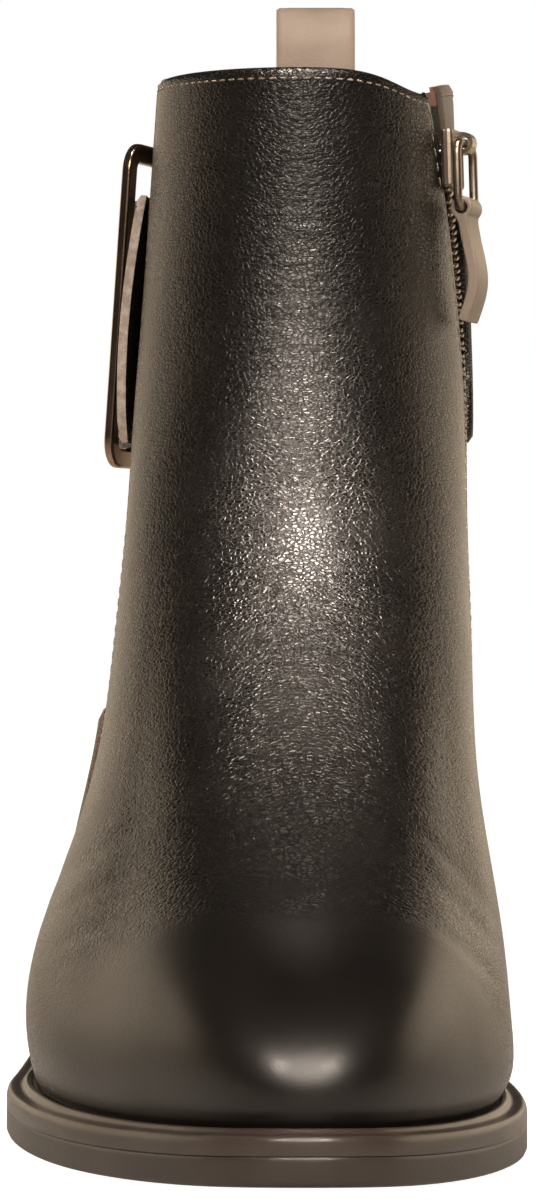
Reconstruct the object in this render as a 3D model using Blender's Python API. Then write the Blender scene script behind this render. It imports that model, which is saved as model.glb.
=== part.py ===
"""A heeled ankle boot for the right foot, standing empty on its sole.

The toe points along -Y, the inner side of the foot faces +X and the floor is z = 0.
Sizes are in millimetres and are turned into metres when a mesh is made.
"""

import math

import bmesh
import bpy
import numpy as np
from mathutils import Matrix, Vector

MM = 0.001

# Driving sizes
LENGTH = 254.0
BALL_BREADTH = 84.0
COLLAR_RISE = 184.0
HEEL_HEIGHT = 42.0
TOE_SPRING = 5.0

# The line from heel to toe that the halves are measured from
BACK_X = 10.2
FRONT_X = 5.8
TOE_Y = -LENGTH / 2

# Gap between pieces that are sewn, glued or laid together
FIT = 0.3

# Sole, from the floor up
OUTSOLE_THICKNESS = 4.7
WELT_THICKNESS = 3.4
INSOLE_TOP = 2.2
INSOLE_GAP = 0.5
INSOLE_CHAMFER = 0.6
SPRING_LENGTH = 70.0
ARCH_START = 112.0
ARCH_END = 226.0
SEAT_SLOPE = 0.045
LEDGE_HEEL = 3.4
LEDGE_TOE = 5.4
LEDGE_GROWTH = 0.6
EDGE_CHAMFER = 0.8
WELT_TOP = OUTSOLE_THICKNESS + FIT + WELT_THICKNESS
FEATHER_TOP = WELT_TOP + FIT

# Welt section: share of the ledge out from the upper's foot, height over the outsole
WELT_SECTION = (
    (0.91, FIT),
    (1.00, FIT + 0.6),
    (1.00, FIT + 2.4),
    (0.87, FIT + 3.1),
    (0.46, FIT + 3.1),
    (0.38, FIT + 4.1),
    (0.20, FIT + 4.1),
    (0.14, FIT + WELT_THICKNESS),
    (-0.50, FIT + WELT_THICKNESS),
    (-0.50, FIT),
)

# Heel block: distance in from the sole's edge, share of the height from floor to seat
HEEL_BREAST_TURN = 0.99
HEEL_SECTION = (
    (5.2, 0.0),
    (4.8, 0.03),
    (4.1, 0.35),
    (2.9, 0.70),
    (1.2, 1.0),
)

# Upper, as sections from the feather edge to the collar. Lengths are percent of LENGTH from the toe,
# rises percent of COLLAR_RISE over the feather edge, breadths percent of BALL_BREADTH.
# Sag is the share of the sole's curve that a section follows, oval the share of an oval in its outline,
# and blunt how much wider its front end is than the foot's outline there.
SECTION_COLUMNS = (
    *("front_y", "front_rise", "back_y", "back_rise"),
    *("sag", "lateral", "medial", "oval", "blunt"),
)
SECTIONS = (
    (2.6, 0.0, 97.4, 0.0, 1.00, 58.8, 39.6, 0.00, 0.00),
    (1.9, 2.6, 98.3, 3.3, 1.00, 60.5, 43.1, 0.00, 0.16),
    (2.9, 6.8, 98.7, 7.9, 0.96, 61.3, 43.1, 0.05, 0.34),
    (6.8, 11.6, 98.7, 13.3, 0.84, 58.9, 42.4, 0.15, 0.46),
    (14.5, 15.6, 98.3, 19.6, 0.62, 53.3, 41.0, 0.35, 0.46),
    (26.5, 21.3, 97.5, 26.9, 0.36, 47.8, 39.1, 0.60, 0.40),
    (39.0, 30.9, 96.8, 35.1, 0.15, 45.0, 38.7, 0.82, 0.27),
    (50.6, 43.4, 96.4, 43.5, 0.03, 43.1, 38.1, 0.96, 0.12),
    (59.1, 57.1, 96.4, 52.2, 0.00, 41.9, 38.4, 1.00, 0.03),
    (62.8, 71.7, 96.8, 61.4, 0.00, 40.1, 38.0, 1.00, 0.00),
    (63.8, 86.1, 97.5, 71.2, 0.00, 38.3, 37.3, 1.00, 0.00),
    (63.6, 100.0, 98.3, 81.0, 0.00, 36.5, 36.4, 1.00, 0.00),
)

# Outline of the foot as shares of a section's breadth, at even turns from the back to the toe
FOOT_LATERAL = (1.16, 0.99, 0.74, 0.955, 0.965, 0.73, 0.70)
FOOT_MEDIAL = (1.68, 1.45, 0.945, 0.85, 1.085, 0.98, 1.04)
BLUNT_FROM = 0.70

# Wall of the upper: the front panel laps over the quarters by one thickness of leather
WALL = 2.7
LAP = 0.8

# Seams as turns from the back, evenly spaced from the feather edge to the collar
LATERAL_SEAM = (1.30, 1.50, 1.66, 1.76, 1.80)
ZIP_LINE = (1.50, 1.56, 1.65, 1.74, 2.19)
ZIP_BOTTOM = 0.53
ZIP_WIDTH = 7.0
COLLAR_DIP_FRONT = 0.0145
COLLAR_DIP_BACK = 0.009
COLLAR_DIP_SPREAD = 0.36

# Counter over the heel, from a turn on the inner side to just behind the outer seam
COUNTER_TURN_MEDIAL = 0.96
COUNTER_SEAM_MARGIN = 0.05
COUNTER_BOTTOM_UP = 0.035
COUNTER_SIDE_TOP = 73.0
COUNTER_BACK_TOP = 96.0
COUNTER_THICKNESS = 2.0

# Strap round the back and the slide that it is threaded through
STRAP_BOTTOM = 125.5
STRAP_TOP = 175.5
STRAP_THICKNESS = 1.8
STRAP_END_RADIUS = 6.0
SLIDE_TURN = 1.16
SLIDE_LIFT = 1.1
SLIDE_LEAN = math.radians(3.1)
SLIDE_Z = 153.6
SLIDE_WIDTH = 36.0
SLIDE_HEIGHT = 66.5
SLIDE_BAR = 4.0
SLIDE_MIDDLE_BAR = 3.0
SLIDE_THICKNESS = 2.0
SLIDE_CORNER = 6.0
STRAP_LOOSE = 0.9
STRAP_CREST = 8.0
STRAP_DROP = 4.6
STRAP_CLIMB = 8.0

# Pull loop at the back of the collar
LOOP_WIDTH = 16.8
LOOP_THICKNESS = 1.7
LOOP_INSIDE_BOTTOM = 184.0
LOOP_OUTSIDE_BOTTOM = 181.0
LOOP_SPRINGS = 198.5
LOOP_TOP = 220.8
LOOP_SPREAD = 3.4
LOOP_BEND_RADIUS = 19.5
LOOP_FLAT_ABOVE = 205.5

# Zip
TAPE_OUTER = -1.45
TAPE_INNER = -2.45
CHAIN_WIDTH = 4.4
CHAIN_BASE = -1.15
CHAIN_LOW = -0.75
CHAIN_HIGH = -0.15
TEETH = 40
HINGE_Z = 184.5
HINGE_LIFT = 4.0
SLIDER_WIDTH = 8.6
SLIDER_HEIGHT = 12.0
SLIDER_INNER = 0.2
SLIDER_OUTER = 2.6
BAIL_WIDTH = 3.0
BAIL_INNER = 1.3
BAIL_OUTER = 2.2
PULL_RING_WIDTH = 10.6
PULL_RING_HEIGHT = 13.0
PULL_RING_CORNER = 2.6
PULL_RING_WIRE = 0.9
TAB_WIDTH = 7.2
TAB_THICKNESS = 2.2
TAB_EYE = 2.3
TAB_CHAMFER = 0.4

# Middle line of the hanging tab, outwards and down from the hinge
TAB_LINE = (
    (0.0, -13.0),
    (0.8, -19.0),
    (1.9, -25.0),
    (1.6, -30.0),
    (-0.4, -35.5),
)


def natural_spline(values):
    """A smooth curve through evenly spaced values, as a function of a share from 0 to 1."""
    values = np.asarray(values, float)
    spans = len(values) - 1
    system = np.eye(spans + 1)
    right = np.zeros(spans + 1)
    for i in range(1, spans):
        system[i, i - 1 : i + 2] = (1, 4, 1)
        right[i] = 6 * (values[i - 1] - 2 * values[i] + values[i + 1])
    bend = np.linalg.solve(system, right)

    def at(share):
        place = np.clip(np.asarray(share, float), 0, 1) * spans
        i = np.minimum(place.astype(int), spans - 1)
        u = place - i
        w = 1 - u
        bow = (w**3 - w) * bend[i] + (u**3 - u) * bend[i + 1]
        return w * values[i] + u * values[i + 1] + bow / 6

    return at


def ease(share):
    share = np.clip(share, 0, 1)
    return share * share * (3 - 2 * share)


def section_curves():
    scale = dict.fromkeys(("front_y", "back_y"), LENGTH / 100)
    scale.update(dict.fromkeys(("front_rise", "back_rise"), COLLAR_RISE / 100))
    scale.update(dict.fromkeys(("lateral", "medial"), BALL_BREADTH / 100))
    columns = zip(SECTION_COLUMNS, zip(*SECTIONS))
    return {name: natural_spline(np.array(column) * scale.get(name, 1)) for name, column in columns}


CURVES = section_curves()
FOOT = {"lateral": natural_spline(FOOT_LATERAL), "medial": natural_spline(FOOT_MEDIAL)}
TOE_END = float(CURVES["front_y"](0))
HEEL_END = float(CURVES["back_y"](0))
seam_turn = natural_spline(LATERAL_SEAM)
zip_turn = natural_spline(ZIP_LINE)


def tread(y):
    """Height of the sole's underside at a distance from the toe."""
    y = np.asarray(y, float)
    spring = TOE_SPRING * np.clip(1 - y / SPRING_LENGTH, 0, None) ** 2
    arch = HEEL_HEIGHT * ease((y - ARCH_START) / (ARCH_END - ARCH_START))
    seat = SEAT_SLOPE * np.clip(y - ARCH_END, 0, None)
    return spring + arch + seat


def form(turn, up):
    """Outer face of the upper. turn runs from the back round the outer side, up from feather to collar."""
    turn, up = np.broadcast_arrays(np.asarray(turn, float), np.asarray(up, float))
    along = (1 - np.cos(turn)) / 2
    row = {name: curve(up) for name, curve in CURVES.items()}
    y = row["back_y"] + (row["front_y"] - row["back_y"]) * along
    chord = tread(HEEL_END) + (tread(TOE_END) - tread(HEEL_END)) * along
    sole = tread(HEEL_END + (TOE_END - HEEL_END) * along)
    rise = row["back_rise"] + (row["front_rise"] - row["back_rise"]) * along
    z = FEATHER_TOP + chord + rise + row["sag"] * (sole - chord)
    side = np.sin(turn)
    fold = np.arccos(np.cos(turn)) / np.pi
    half = {}
    for name, foot in FOOT.items():
        half[name] = row[name] * (foot(fold) * (1 - row["oval"]) + row["oval"])
    reach = side * np.where(side > 0, half["lateral"], half["medial"])
    reach = reach * (1 + row["blunt"] * ease((fold - BLUNT_FROM) / (1 - BLUNT_FROM)))
    x = BACK_X + (FRONT_X - BACK_X) * along - reach
    return np.stack([x, y + TOE_Y, z], axis=-1)


def form_frame(turn, up):
    """Unit vectors round, up and out of the upper's face."""
    step = 1e-3
    around = form(np.add(turn, step), up) - form(np.subtract(turn, step), up)
    above = np.minimum(np.add(up, step), 1)
    below = np.maximum(np.subtract(up, step), 0)
    rising = form(turn, above) - form(turn, below)
    out = np.cross(around, rising)
    return [v / np.linalg.norm(v, axis=-1, keepdims=True) for v in (around, rising, out)]


def skin(turn, up, lift):
    """A point at a height over the upper's face, under it when negative."""
    return form(turn, up) + form_frame(turn, up)[2] * np.asarray(lift, float)[..., None]


def up_at(turn, z):
    """Where a height is reached on the upper."""
    turn, z = np.broadcast_arrays(np.asarray(turn, float), np.asarray(z, float))
    low = np.zeros(z.shape)
    high = np.ones(z.shape)
    for _ in range(40):
        middle = (low + high) / 2
        below = form(turn, middle)[..., 2] < z
        low = np.where(below, middle, low)
        high = np.where(below, high, middle)
    return (low + high) / 2


def turn_of(width, turn, up):
    """The turn that covers a width of the upper's face."""
    step = 1e-3
    across = form(np.add(turn, step), up) - form(np.subtract(turn, step), up)
    return width * 2 * step / np.linalg.norm(across, axis=-1)


def zip_edges(up):
    """Turns of the front and back edges of the zip's slot."""
    front = 2 * np.pi - zip_turn(up)
    return front, front + turn_of(ZIP_WIDTH, front, up)


def collar(turn):
    """The top of the upper, lower at the zip."""
    corner = zip_edges(1.0)[0]
    away = np.mod(turn, 2 * np.pi) - corner
    depth = np.where(away <= 0, COLLAR_DIP_FRONT, COLLAR_DIP_BACK)
    return 1 - depth * np.exp(-((away / COLLAR_DIP_SPREAD) ** 2))


def ledge(turn):
    """How far the sole stands out from the upper's foot."""
    return LEDGE_HEEL + (LEDGE_TOE - LEDGE_HEEL) * ease((1 - np.cos(turn)) / 2 / LEDGE_GROWTH)


def sole_edge(turn, inset):
    """Plan of the sole's edge, moved in from it."""
    turn = np.asarray(turn, float)
    step = 1e-3
    along = (form(turn + step, 0) - form(turn - step, 0))[..., :2]
    along = along / np.linalg.norm(along, axis=-1, keepdims=True)
    outward = np.stack([along[..., 1], -along[..., 0]], axis=-1)
    return form(turn, 0)[..., :2] + outward * (ledge(turn) - inset)[..., None]


def sole_point(turn, inset, height):
    """A point at a height over the sole's underside."""
    plan = sole_edge(turn, inset)
    z = tread(plan[..., 1] - TOE_Y) + height
    return np.concatenate([plan, z[..., None]], axis=-1)


def clear_scene():
    for item in list(bpy.data.objects):
        bpy.data.objects.remove(item, do_unlink=True)


def plain_material(name, colour, roughness, metallic=0.0):
    material = bpy.data.materials.new(name)
    material.use_nodes = True
    shader = material.node_tree.nodes["Principled BSDF"]
    shader.inputs["Base Color"].default_value = (*colour, 1)
    shader.inputs["Roughness"].default_value = roughness
    shader.inputs["Metallic"].default_value = metallic
    return material


def add_object(name, mesh, material, parent, origin=(0, 0, 0)):
    mesh.materials.append(material)
    item = bpy.data.objects.new(name, mesh)
    bpy.context.collection.objects.link(item)
    item.location = Vector(origin) * MM
    item.parent = parent
    return item


def mesh_of(name, points, faces, origin=(0, 0, 0)):
    """A mesh from points in millimetres, with points that coincide made one."""
    points = np.asarray(points, float).reshape(-1, 3)
    _, first, index = np.unique(np.round(points, 4), axis=0, return_index=True, return_inverse=True)
    index = index.reshape(-1)
    polygons = []
    for face in faces:
        corners = list(dict.fromkeys(int(index[k]) for k in face))
        if len(corners) > 2:
            polygons.append(corners)
    mesh = bpy.data.meshes.new(name)
    mesh.from_pydata(((points[first] - np.asarray(origin)) * MM).tolist(), [], polygons)
    shape = bmesh.new()
    shape.from_mesh(mesh)
    bmesh.ops.delete(shape, geom=[v for v in shape.verts if not v.link_faces], context="VERTS")
    bmesh.ops.recalc_face_normals(shape, faces=shape.faces)
    shape.to_mesh(mesh)
    shape.free()
    return mesh


def between(outer, inner, keep=None, wrap=False, poles=(False, False)):
    """Points and faces of the solid between two grids. Cells that aren't kept are openings through it."""
    rows, columns = outer.shape[:2]
    across = columns if wrap else columns - 1
    kept = np.ones((rows - 1, across), bool) if keep is None else keep
    count = rows * columns

    def corner(i, j):
        return i * columns + j % columns

    def is_kept(i, j):
        if not 0 <= i < rows - 1:
            return (i < 0 and poles[0]) or (i >= rows - 1 and poles[1])
        if wrap:
            return kept[i, j % across]
        return 0 <= j < across and kept[i, j]

    faces = []
    for i, j in zip(*np.nonzero(kept)):
        a, b = corner(i, j), corner(i, j + 1)
        d, c = corner(i + 1, j), corner(i + 1, j + 1)
        faces.append((a, b, c, d))
        faces.append((d + count, c + count, b + count, a + count))
        sides = (((i - 1, j), a, b), ((i, j + 1), b, c), ((i + 1, j), c, d), ((i, j - 1), d, a))
        for cell, p, q in sides:
            if not is_kept(*cell):
                faces.append((q, p, p + count, q + count))
    return np.concatenate([outer.reshape(-1, 3), inner.reshape(-1, 3)]), faces


def tube(loops):
    """Points and faces of a solid ring, from section loops that follow each other round."""
    count, sides = loops.shape[:2]
    faces = []
    for i in range(count):
        for j in range(sides):
            a = i * sides + j
            b = i * sides + (j + 1) % sides
            c = (i + 1) % count * sides + (j + 1) % sides
            d = (i + 1) % count * sides + j
            faces.append((a, b, c, d))
    return loops.reshape(-1, 3), faces


def over_tread(height):
    """The level that lies a height over the sole's underside."""
    return lambda y: tread(y) + height


def slab(turns, rims, bottom_inset, bottom, top, columns, poles):
    """A plate in the sole's outline. rims are (inset, height) of its side, from the lowest edge up."""
    sides = {}
    for name, angles in (("lateral", turns), ("medial", 2 * np.pi - turns)):
        sides[name] = [sole_edge(angles, inset) for inset, _ in rims]
        sides[name + " low"] = sole_edge(angles, bottom_inset)
    shares = np.linspace(0, 1, columns)[:, None, None]
    middle = sides["lateral"][-1] * (1 - shares) + sides["medial"][-1] * shares
    underside = sides["lateral low"] * (1 - shares) + sides["medial low"] * shares
    upper_plan = [*sides["lateral"][:-1], *middle, *sides["medial"][:-1][::-1]]
    upper_z = [height for _, height in rims[:-1]]
    heights = [*upper_z, *[top] * columns, *upper_z[::-1]]
    spare = len(rims) - 1
    lower_plan = [underside[0]] * spare + list(underside) + [underside[-1]] * spare
    grids = []
    for plans, levels in ((upper_plan, heights), (lower_plan, [bottom] * len(lower_plan))):
        layers = []
        for plan, level in zip(plans, levels):
            z = level(plan[..., 1] - TOE_Y)
            layers.append(np.concatenate([plan, z[..., None]], axis=-1))
        grids.append(np.stack(layers, axis=1))
    return between(grids[0], grids[1], poles=poles)


def make_upper():
    """One hollow shell, open at the collar, underneath and along the zip."""
    below_zip = np.linspace(0, ZIP_BOTTOM, 14)
    beside_zip = np.linspace(ZIP_BOTTOM, 1, 12)
    rows = np.concatenate([below_zip, beside_zip[1:]])
    spans = (9, 1, 13, 12, 2, 12)
    outer, inner = [], []
    for up in rows:
        seam = float(seam_turn(up))
        front, back = (float(v) for v in zip_edges(up))
        step = float(turn_of(LAP, seam, up))
        knots = (0.0, seam - step, seam, math.pi, front, back, 2 * math.pi)
        pieces = [np.linspace(a, b, n, endpoint=False) for a, b, n in zip(knots, knots[1:], spans)]
        turns = np.concatenate(pieces)
        lifts = np.interp(turns, (seam - step, seam, front, back), (-LAP, 0, 0, -LAP))
        ups = up * collar(turns)
        outer.append(skin(turns, ups, lifts))
        inner.append(skin(turns, ups, np.full(turns.shape, -WALL)))
    keep = np.ones((len(rows) - 1, sum(spans)), bool)
    slot = sum(spans[:4])
    keep[rows[:-1] >= ZIP_BOTTOM - 1e-9, slot : slot + spans[4]] = False
    return between(np.array(outer), np.array(inner), keep, wrap=True)


def patch(turns, ups, low, high):
    """A piece laid on the upper, between two heights over its face."""
    turns, ups = np.broadcast_arrays(turns, ups)
    faces = [skin(turns, ups, np.broadcast_to(lift, turns.shape)) for lift in (high, low)]
    return between(*faces)


def make_counter():
    """A stiff overlay round the back of the heel, highest at the back."""
    spread = np.linspace(-1, 1, 35)
    top = COUNTER_BACK_TOP + (COUNTER_SIDE_TOP - COUNTER_BACK_TOP) * ease(np.abs(spread))
    turns = spread * np.where(spread > 0, seam_turn(0.25), COUNTER_TURN_MEDIAL)
    grid_turns, grid_ups = [], []
    for share in np.linspace(0, 1, 10):
        ups = COUNTER_BOTTOM_UP + (up_at(turns, top) - COUNTER_BOTTOM_UP) * share
        outer_end = seam_turn(ups[-1]) - COUNTER_SEAM_MARGIN
        turns = spread * np.where(spread > 0, outer_end, COUNTER_TURN_MEDIAL)
        grid_turns.append(turns)
        grid_ups.append(ups)
    low = FIT - LAP
    return patch(np.array(grid_turns), np.array(grid_ups), low, low + COUNTER_THICKNESS)


def slide_frame():
    """Middle of the slide's back, with its directions forwards, up and out."""
    up = up_at(SLIDE_TURN, SLIDE_Z)
    out = Vector(form_frame(SLIDE_TURN, up)[2])
    forwards = Vector((0, 0, 1)).cross(out).normalized()
    out = Matrix.Rotation(-SLIDE_LEAN, 3, forwards) @ out
    rising = out.cross(forwards)
    return Vector(form(SLIDE_TURN, up)) + out * SLIDE_LIFT, forwards, rising, out


def slide_reach(turns, z):
    """Distance in front of the slide's middle, and depth of the upper's face behind the slide's back."""
    middle, forwards, _, out = (np.array(v) for v in slide_frame())
    away = form(turns, up_at(turns, z)) - middle
    return np.where(np.asarray(turns) > 0, away @ forwards, -100.0), -(away @ out)


def slide_turn(reach, z):
    """Where the upper's face is at a distance in front of the slide's middle."""
    turns = np.linspace(0.4, 2.2, 120)
    return float(np.interp(reach, slide_reach(turns, z)[0], turns))


def strap_lift(turns, z):
    """Height of the strap's back over the upper's face, as it weaves through the slide's bars."""
    reach, depth = slide_reach(turns, z)
    flat = FIT - LAP
    over = depth + SLIDE_THICKNESS + 2.5 * FIT
    under = depth - STRAP_THICKNESS - 2 * FIT
    share = (z - STRAP_BOTTOM) / (STRAP_TOP - STRAP_BOTTOM)
    bow = np.sin(np.pi * (0.2 + 0.7 * share))
    loose = STRAP_LOOSE * bow * ease((reach - STRAP_CREST) / STRAP_DROP)
    rise = ease((STRAP_CREST + STRAP_DROP - np.abs(reach)) / STRAP_CLIMB)
    return flat + (over - flat) * rise + (under - flat) * loose


def make_strap():
    """A wide strap from the zip round the back to the slide on the outer side."""
    heights = np.linspace(STRAP_BOTTOM, STRAP_TOP, 6)
    rows = []
    for z in heights:
        zip_up = up_at(2 * np.pi - ZIP_LINE[3], z)
        start = float(zip_edges(zip_up)[1]) - 2 * math.pi
        drop = max(0.0, STRAP_END_RADIUS - (z - STRAP_BOTTOM))
        round_off = STRAP_END_RADIUS - math.sqrt(STRAP_END_RADIUS**2 - drop**2)
        start = start + float(turn_of(1.0 + round_off, start, zip_up))
        behind = slide_turn(-SLIDE_WIDTH / 2 - 3, z)
        finish = slide_turn(SLIDE_WIDTH / 2 + 1.5, z)
        plain = np.linspace(start, behind, 20, endpoint=False)
        rows.append(np.concatenate([plain, np.linspace(behind, finish, 23)]))
    turns = np.array(rows)
    z = np.broadcast_to(heights[:, None], turns.shape)
    low = strap_lift(turns, z)
    return patch(turns, up_at(turns, z), low, low + STRAP_THICKNESS)


def rounded_rectangle(width, height, radius, steps):
    """Points of a rectangle with round corners about the origin, anticlockwise."""
    points = []
    for k, (sx, sy) in enumerate(((1, 1), (-1, 1), (-1, -1), (1, -1))):
        centre = (sx * (width / 2 - radius), sy * (height / 2 - radius))
        for i in range(steps + 1):
            angle = math.pi / 2 * (k + i / steps)
            points.append((centre[0] + radius * math.cos(angle), centre[1] + radius * math.sin(angle)))
    return points


def extruded(outlines, depth):
    """A flat plate from an outline and its holes in the XZ plane, thick along Y from 0."""
    shape = bmesh.new()
    for outline in outlines:
        corners = [shape.verts.new((x * MM, 0, z * MM)) for x, z in outline]
        for p, q in zip(corners, corners[1:] + corners[:1]):
            shape.edges.new((p, q))
    bmesh.ops.triangle_fill(shape, use_beauty=True, edges=shape.edges[:])
    made = bmesh.ops.extrude_face_region(shape, geom=shape.faces[:])
    moved = [item for item in made["geom"] if isinstance(item, bmesh.types.BMVert)]
    bmesh.ops.translate(shape, verts=moved, vec=(0, depth * MM, 0))
    return shape


def mesh_from(name, shape, matrix=None):
    if matrix is not None:
        shape.transform(matrix)
        shape.normal_update()
    bmesh.ops.recalc_face_normals(shape, faces=shape.faces)
    mesh = bpy.data.meshes.new(name)
    shape.to_mesh(mesh)
    shape.free()
    return mesh


def make_slide(name):
    """A flat frame with a middle bar that the strap passes over."""
    middle, forwards, rising, out = slide_frame()
    window = (SLIDE_WIDTH - 2 * SLIDE_BAR - SLIDE_MIDDLE_BAR) / 2
    inside = SLIDE_HEIGHT - 2 * SLIDE_BAR
    outlines = [rounded_rectangle(SLIDE_WIDTH, SLIDE_HEIGHT, SLIDE_CORNER, 6)]
    for side in (-1, 1):
        shift = side * (SLIDE_MIDDLE_BAR + window) / 2
        outlines.append([(x + shift, z) for x, z in rounded_rectangle(window, inside, 1.5, 2)])
    shape = extruded(outlines, SLIDE_THICKNESS)
    turn = Matrix((forwards, out, rising)).transposed().to_4x4()
    return mesh_from(name, shape, Matrix.Translation(middle * MM) @ turn)


def loop_line():
    """Middle line of the pull loop in the YZ plane, from inside the collar over to the outside."""
    inside_z = np.linspace(LOOP_INSIDE_BOTTOM, LOOP_SPRINGS, 5)
    outside_z = np.linspace(LOOP_SPRINGS, LOOP_OUTSIDE_BOTTOM, 6)
    lift = 1.5 * FIT + LOOP_THICKNESS / 2
    inside = skin(0.0, up_at(0.0, inside_z), np.full(5, -WALL - lift))[:, 1:]
    outside = skin(0.0, up_at(0.0, outside_z), np.full(6, -LAP + lift))[:, 1:]
    start, finish = inside[-1], outside[0]
    angles = np.linspace(0, math.pi, 14)[1:-1]
    half = (finish[0] - start[0]) / 2
    y = (start[0] + finish[0]) / 2 - np.cos(angles) * (half + LOOP_SPREAD * np.sin(angles) ** 0.7)
    rise = LOOP_TOP - LOOP_THICKNESS / 2 - start[1]
    z = start[1] + (finish[1] - start[1]) * angles / math.pi + rise * np.sin(angles) ** 0.75
    return np.concatenate([inside, np.stack([y, z], axis=-1), outside])


def make_loop():
    """A folded strap, bent round the collar where it is sewn and flat above it."""
    line = loop_line()
    along = np.gradient(line, axis=0)
    along = along / np.linalg.norm(along, axis=-1, keepdims=True)
    normal = np.stack([-along[:, 1], along[:, 0]], axis=-1)
    across = np.linspace(-LOOP_WIDTH / 2, LOOP_WIDTH / 2, 5)
    flat = ease((line[:, 1] - LOOP_SPRINGS) / (LOOP_FLAT_ABOVE - LOOP_SPRINGS))
    bow = across**2 / (2 * LOOP_BEND_RADIUS) * (1 - flat[:, None])
    faces = []
    for side in (1, -1):
        edge = line + normal * side * LOOP_THICKNESS / 2
        grid = np.empty((len(line), len(across), 3))
        grid[..., 0] = BACK_X + across
        grid[..., 1] = edge[:, None, 0] - bow
        grid[..., 2] = edge[:, None, 1]
        faces.append(grid)
    return between(*faces)


def make_zip_tape():
    rows = np.linspace(ZIP_BOTTOM + 0.004, 0.985, 12)
    shares = np.array((0, 0.5, 1))
    front, back = zip_edges(rows)
    margin = turn_of(FIT, front, rows)
    turns = (front + margin)[:, None] + (back - front - 2 * margin)[:, None] * shares
    ups = rows[:, None] * collar(turns)
    return patch(turns, ups, TAPE_INNER, TAPE_OUTER)


def make_zip_chain():
    rows = np.linspace(ZIP_BOTTOM + 0.01, 0.955, 2 * TEETH + 1)
    front, back = zip_edges(rows)
    half = turn_of(CHAIN_WIDTH / 2, front, rows)
    turns = ((front + back) / 2)[:, None] + half[:, None] * np.array((-1, 1))
    ups = rows[:, None] * collar(turns)
    tall = np.where(np.arange(len(rows)) % 2 == 1, CHAIN_HIGH, CHAIN_LOW)
    return patch(turns, ups, CHAIN_BASE, np.broadcast_to(tall[:, None], turns.shape))


def hinge_frame():
    """The pull's hinge over the zip, with its axis round the shaft, up along the zip and out."""
    turn = 2 * np.pi - ZIP_LINE[-1]
    for _ in range(6):
        up = up_at(turn, HINGE_Z)
        turn = float(np.mean(zip_edges(up)))
    around, _, out = (Vector(v) for v in form_frame(turn, up))
    axis = Vector((around.x, around.y, 0)).normalized()
    out = (out - axis * out.dot(axis)).normalized()
    rising = out.cross(axis).normalized()
    if rising.z < 0:
        rising.negate()
    place = Vector(form(turn, up)) + out * HINGE_LIFT
    return place, axis, rising, out


def hinge_matrix(at_origin=False):
    place, axis, rising, out = hinge_frame()
    turn = Matrix((axis, out, rising)).transposed().to_4x4()
    return turn if at_origin else Matrix.Translation(place * MM) @ turn


def make_slider_block(name):
    shape = bmesh.new()
    bmesh.ops.create_cube(shape, size=1)
    depth = SLIDER_OUTER - SLIDER_INNER
    bmesh.ops.scale(shape, verts=shape.verts, vec=Vector((SLIDER_WIDTH, depth, SLIDER_HEIGHT)) * MM)
    middle = (SLIDER_INNER + SLIDER_OUTER) / 2 - HINGE_LIFT
    bmesh.ops.translate(shape, verts=shape.verts, vec=Vector((0, middle, -SLIDER_HEIGHT / 4)) * MM)
    bmesh.ops.bevel(shape, geom=shape.edges[:], offset=0.8 * MM, segments=2, profile=0.5, affect="EDGES")
    return mesh_from(name, shape, hinge_matrix())


def make_bail(name):
    """The arch over the ring's top bar, with its feet inside the slider's block."""
    foot = SLIDER_OUTER - HINGE_LIFT - 0.9
    angles = np.linspace(0, math.pi, 9)
    outline = [(BAIL_OUTER * math.cos(a), BAIL_OUTER * math.sin(a)) for a in angles]
    outline += [(-BAIL_OUTER, foot), (-BAIL_INNER, foot)]
    outline += [(BAIL_INNER * math.cos(a), BAIL_INNER * math.sin(a)) for a in angles[::-1]]
    outline += [(BAIL_INNER, foot), (BAIL_OUTER, foot)]
    shape = extruded([outline], BAIL_WIDTH)
    stand = Matrix(((0, 1, 0), (0, 0, 1), (1, 0, 0))).to_4x4()
    centred = Matrix.Translation(Vector((-BAIL_WIDTH / 2, 0, 0)) * MM) @ stand
    return mesh_from(name, shape, hinge_matrix() @ centred)


def make_pull_ring():
    """A wire ring that hangs from the bail by its top bar."""
    path = np.array(rounded_rectangle(PULL_RING_WIDTH, PULL_RING_HEIGHT, PULL_RING_CORNER, 4))
    path[:, 1] -= PULL_RING_HEIGHT / 2
    ahead = np.roll(path, -1, axis=0) - np.roll(path, 1, axis=0)
    ahead = ahead / np.linalg.norm(ahead, axis=-1, keepdims=True)
    outward = np.stack([ahead[:, 1], -ahead[:, 0]], axis=-1)
    place, axis, rising, out = (np.array(v) for v in hinge_frame())
    angles = np.linspace(0, 2 * math.pi, 8, endpoint=False)
    loops = []
    for point, side in zip(path, outward):
        flat = point + np.cos(angles)[:, None] * side * PULL_RING_WIRE
        depth = np.sin(angles) * PULL_RING_WIRE
        loops.append(place + flat[:, :1] * axis + flat[:, 1:] * rising + depth[:, None] * out)
    return tube(np.array(loops))


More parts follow.
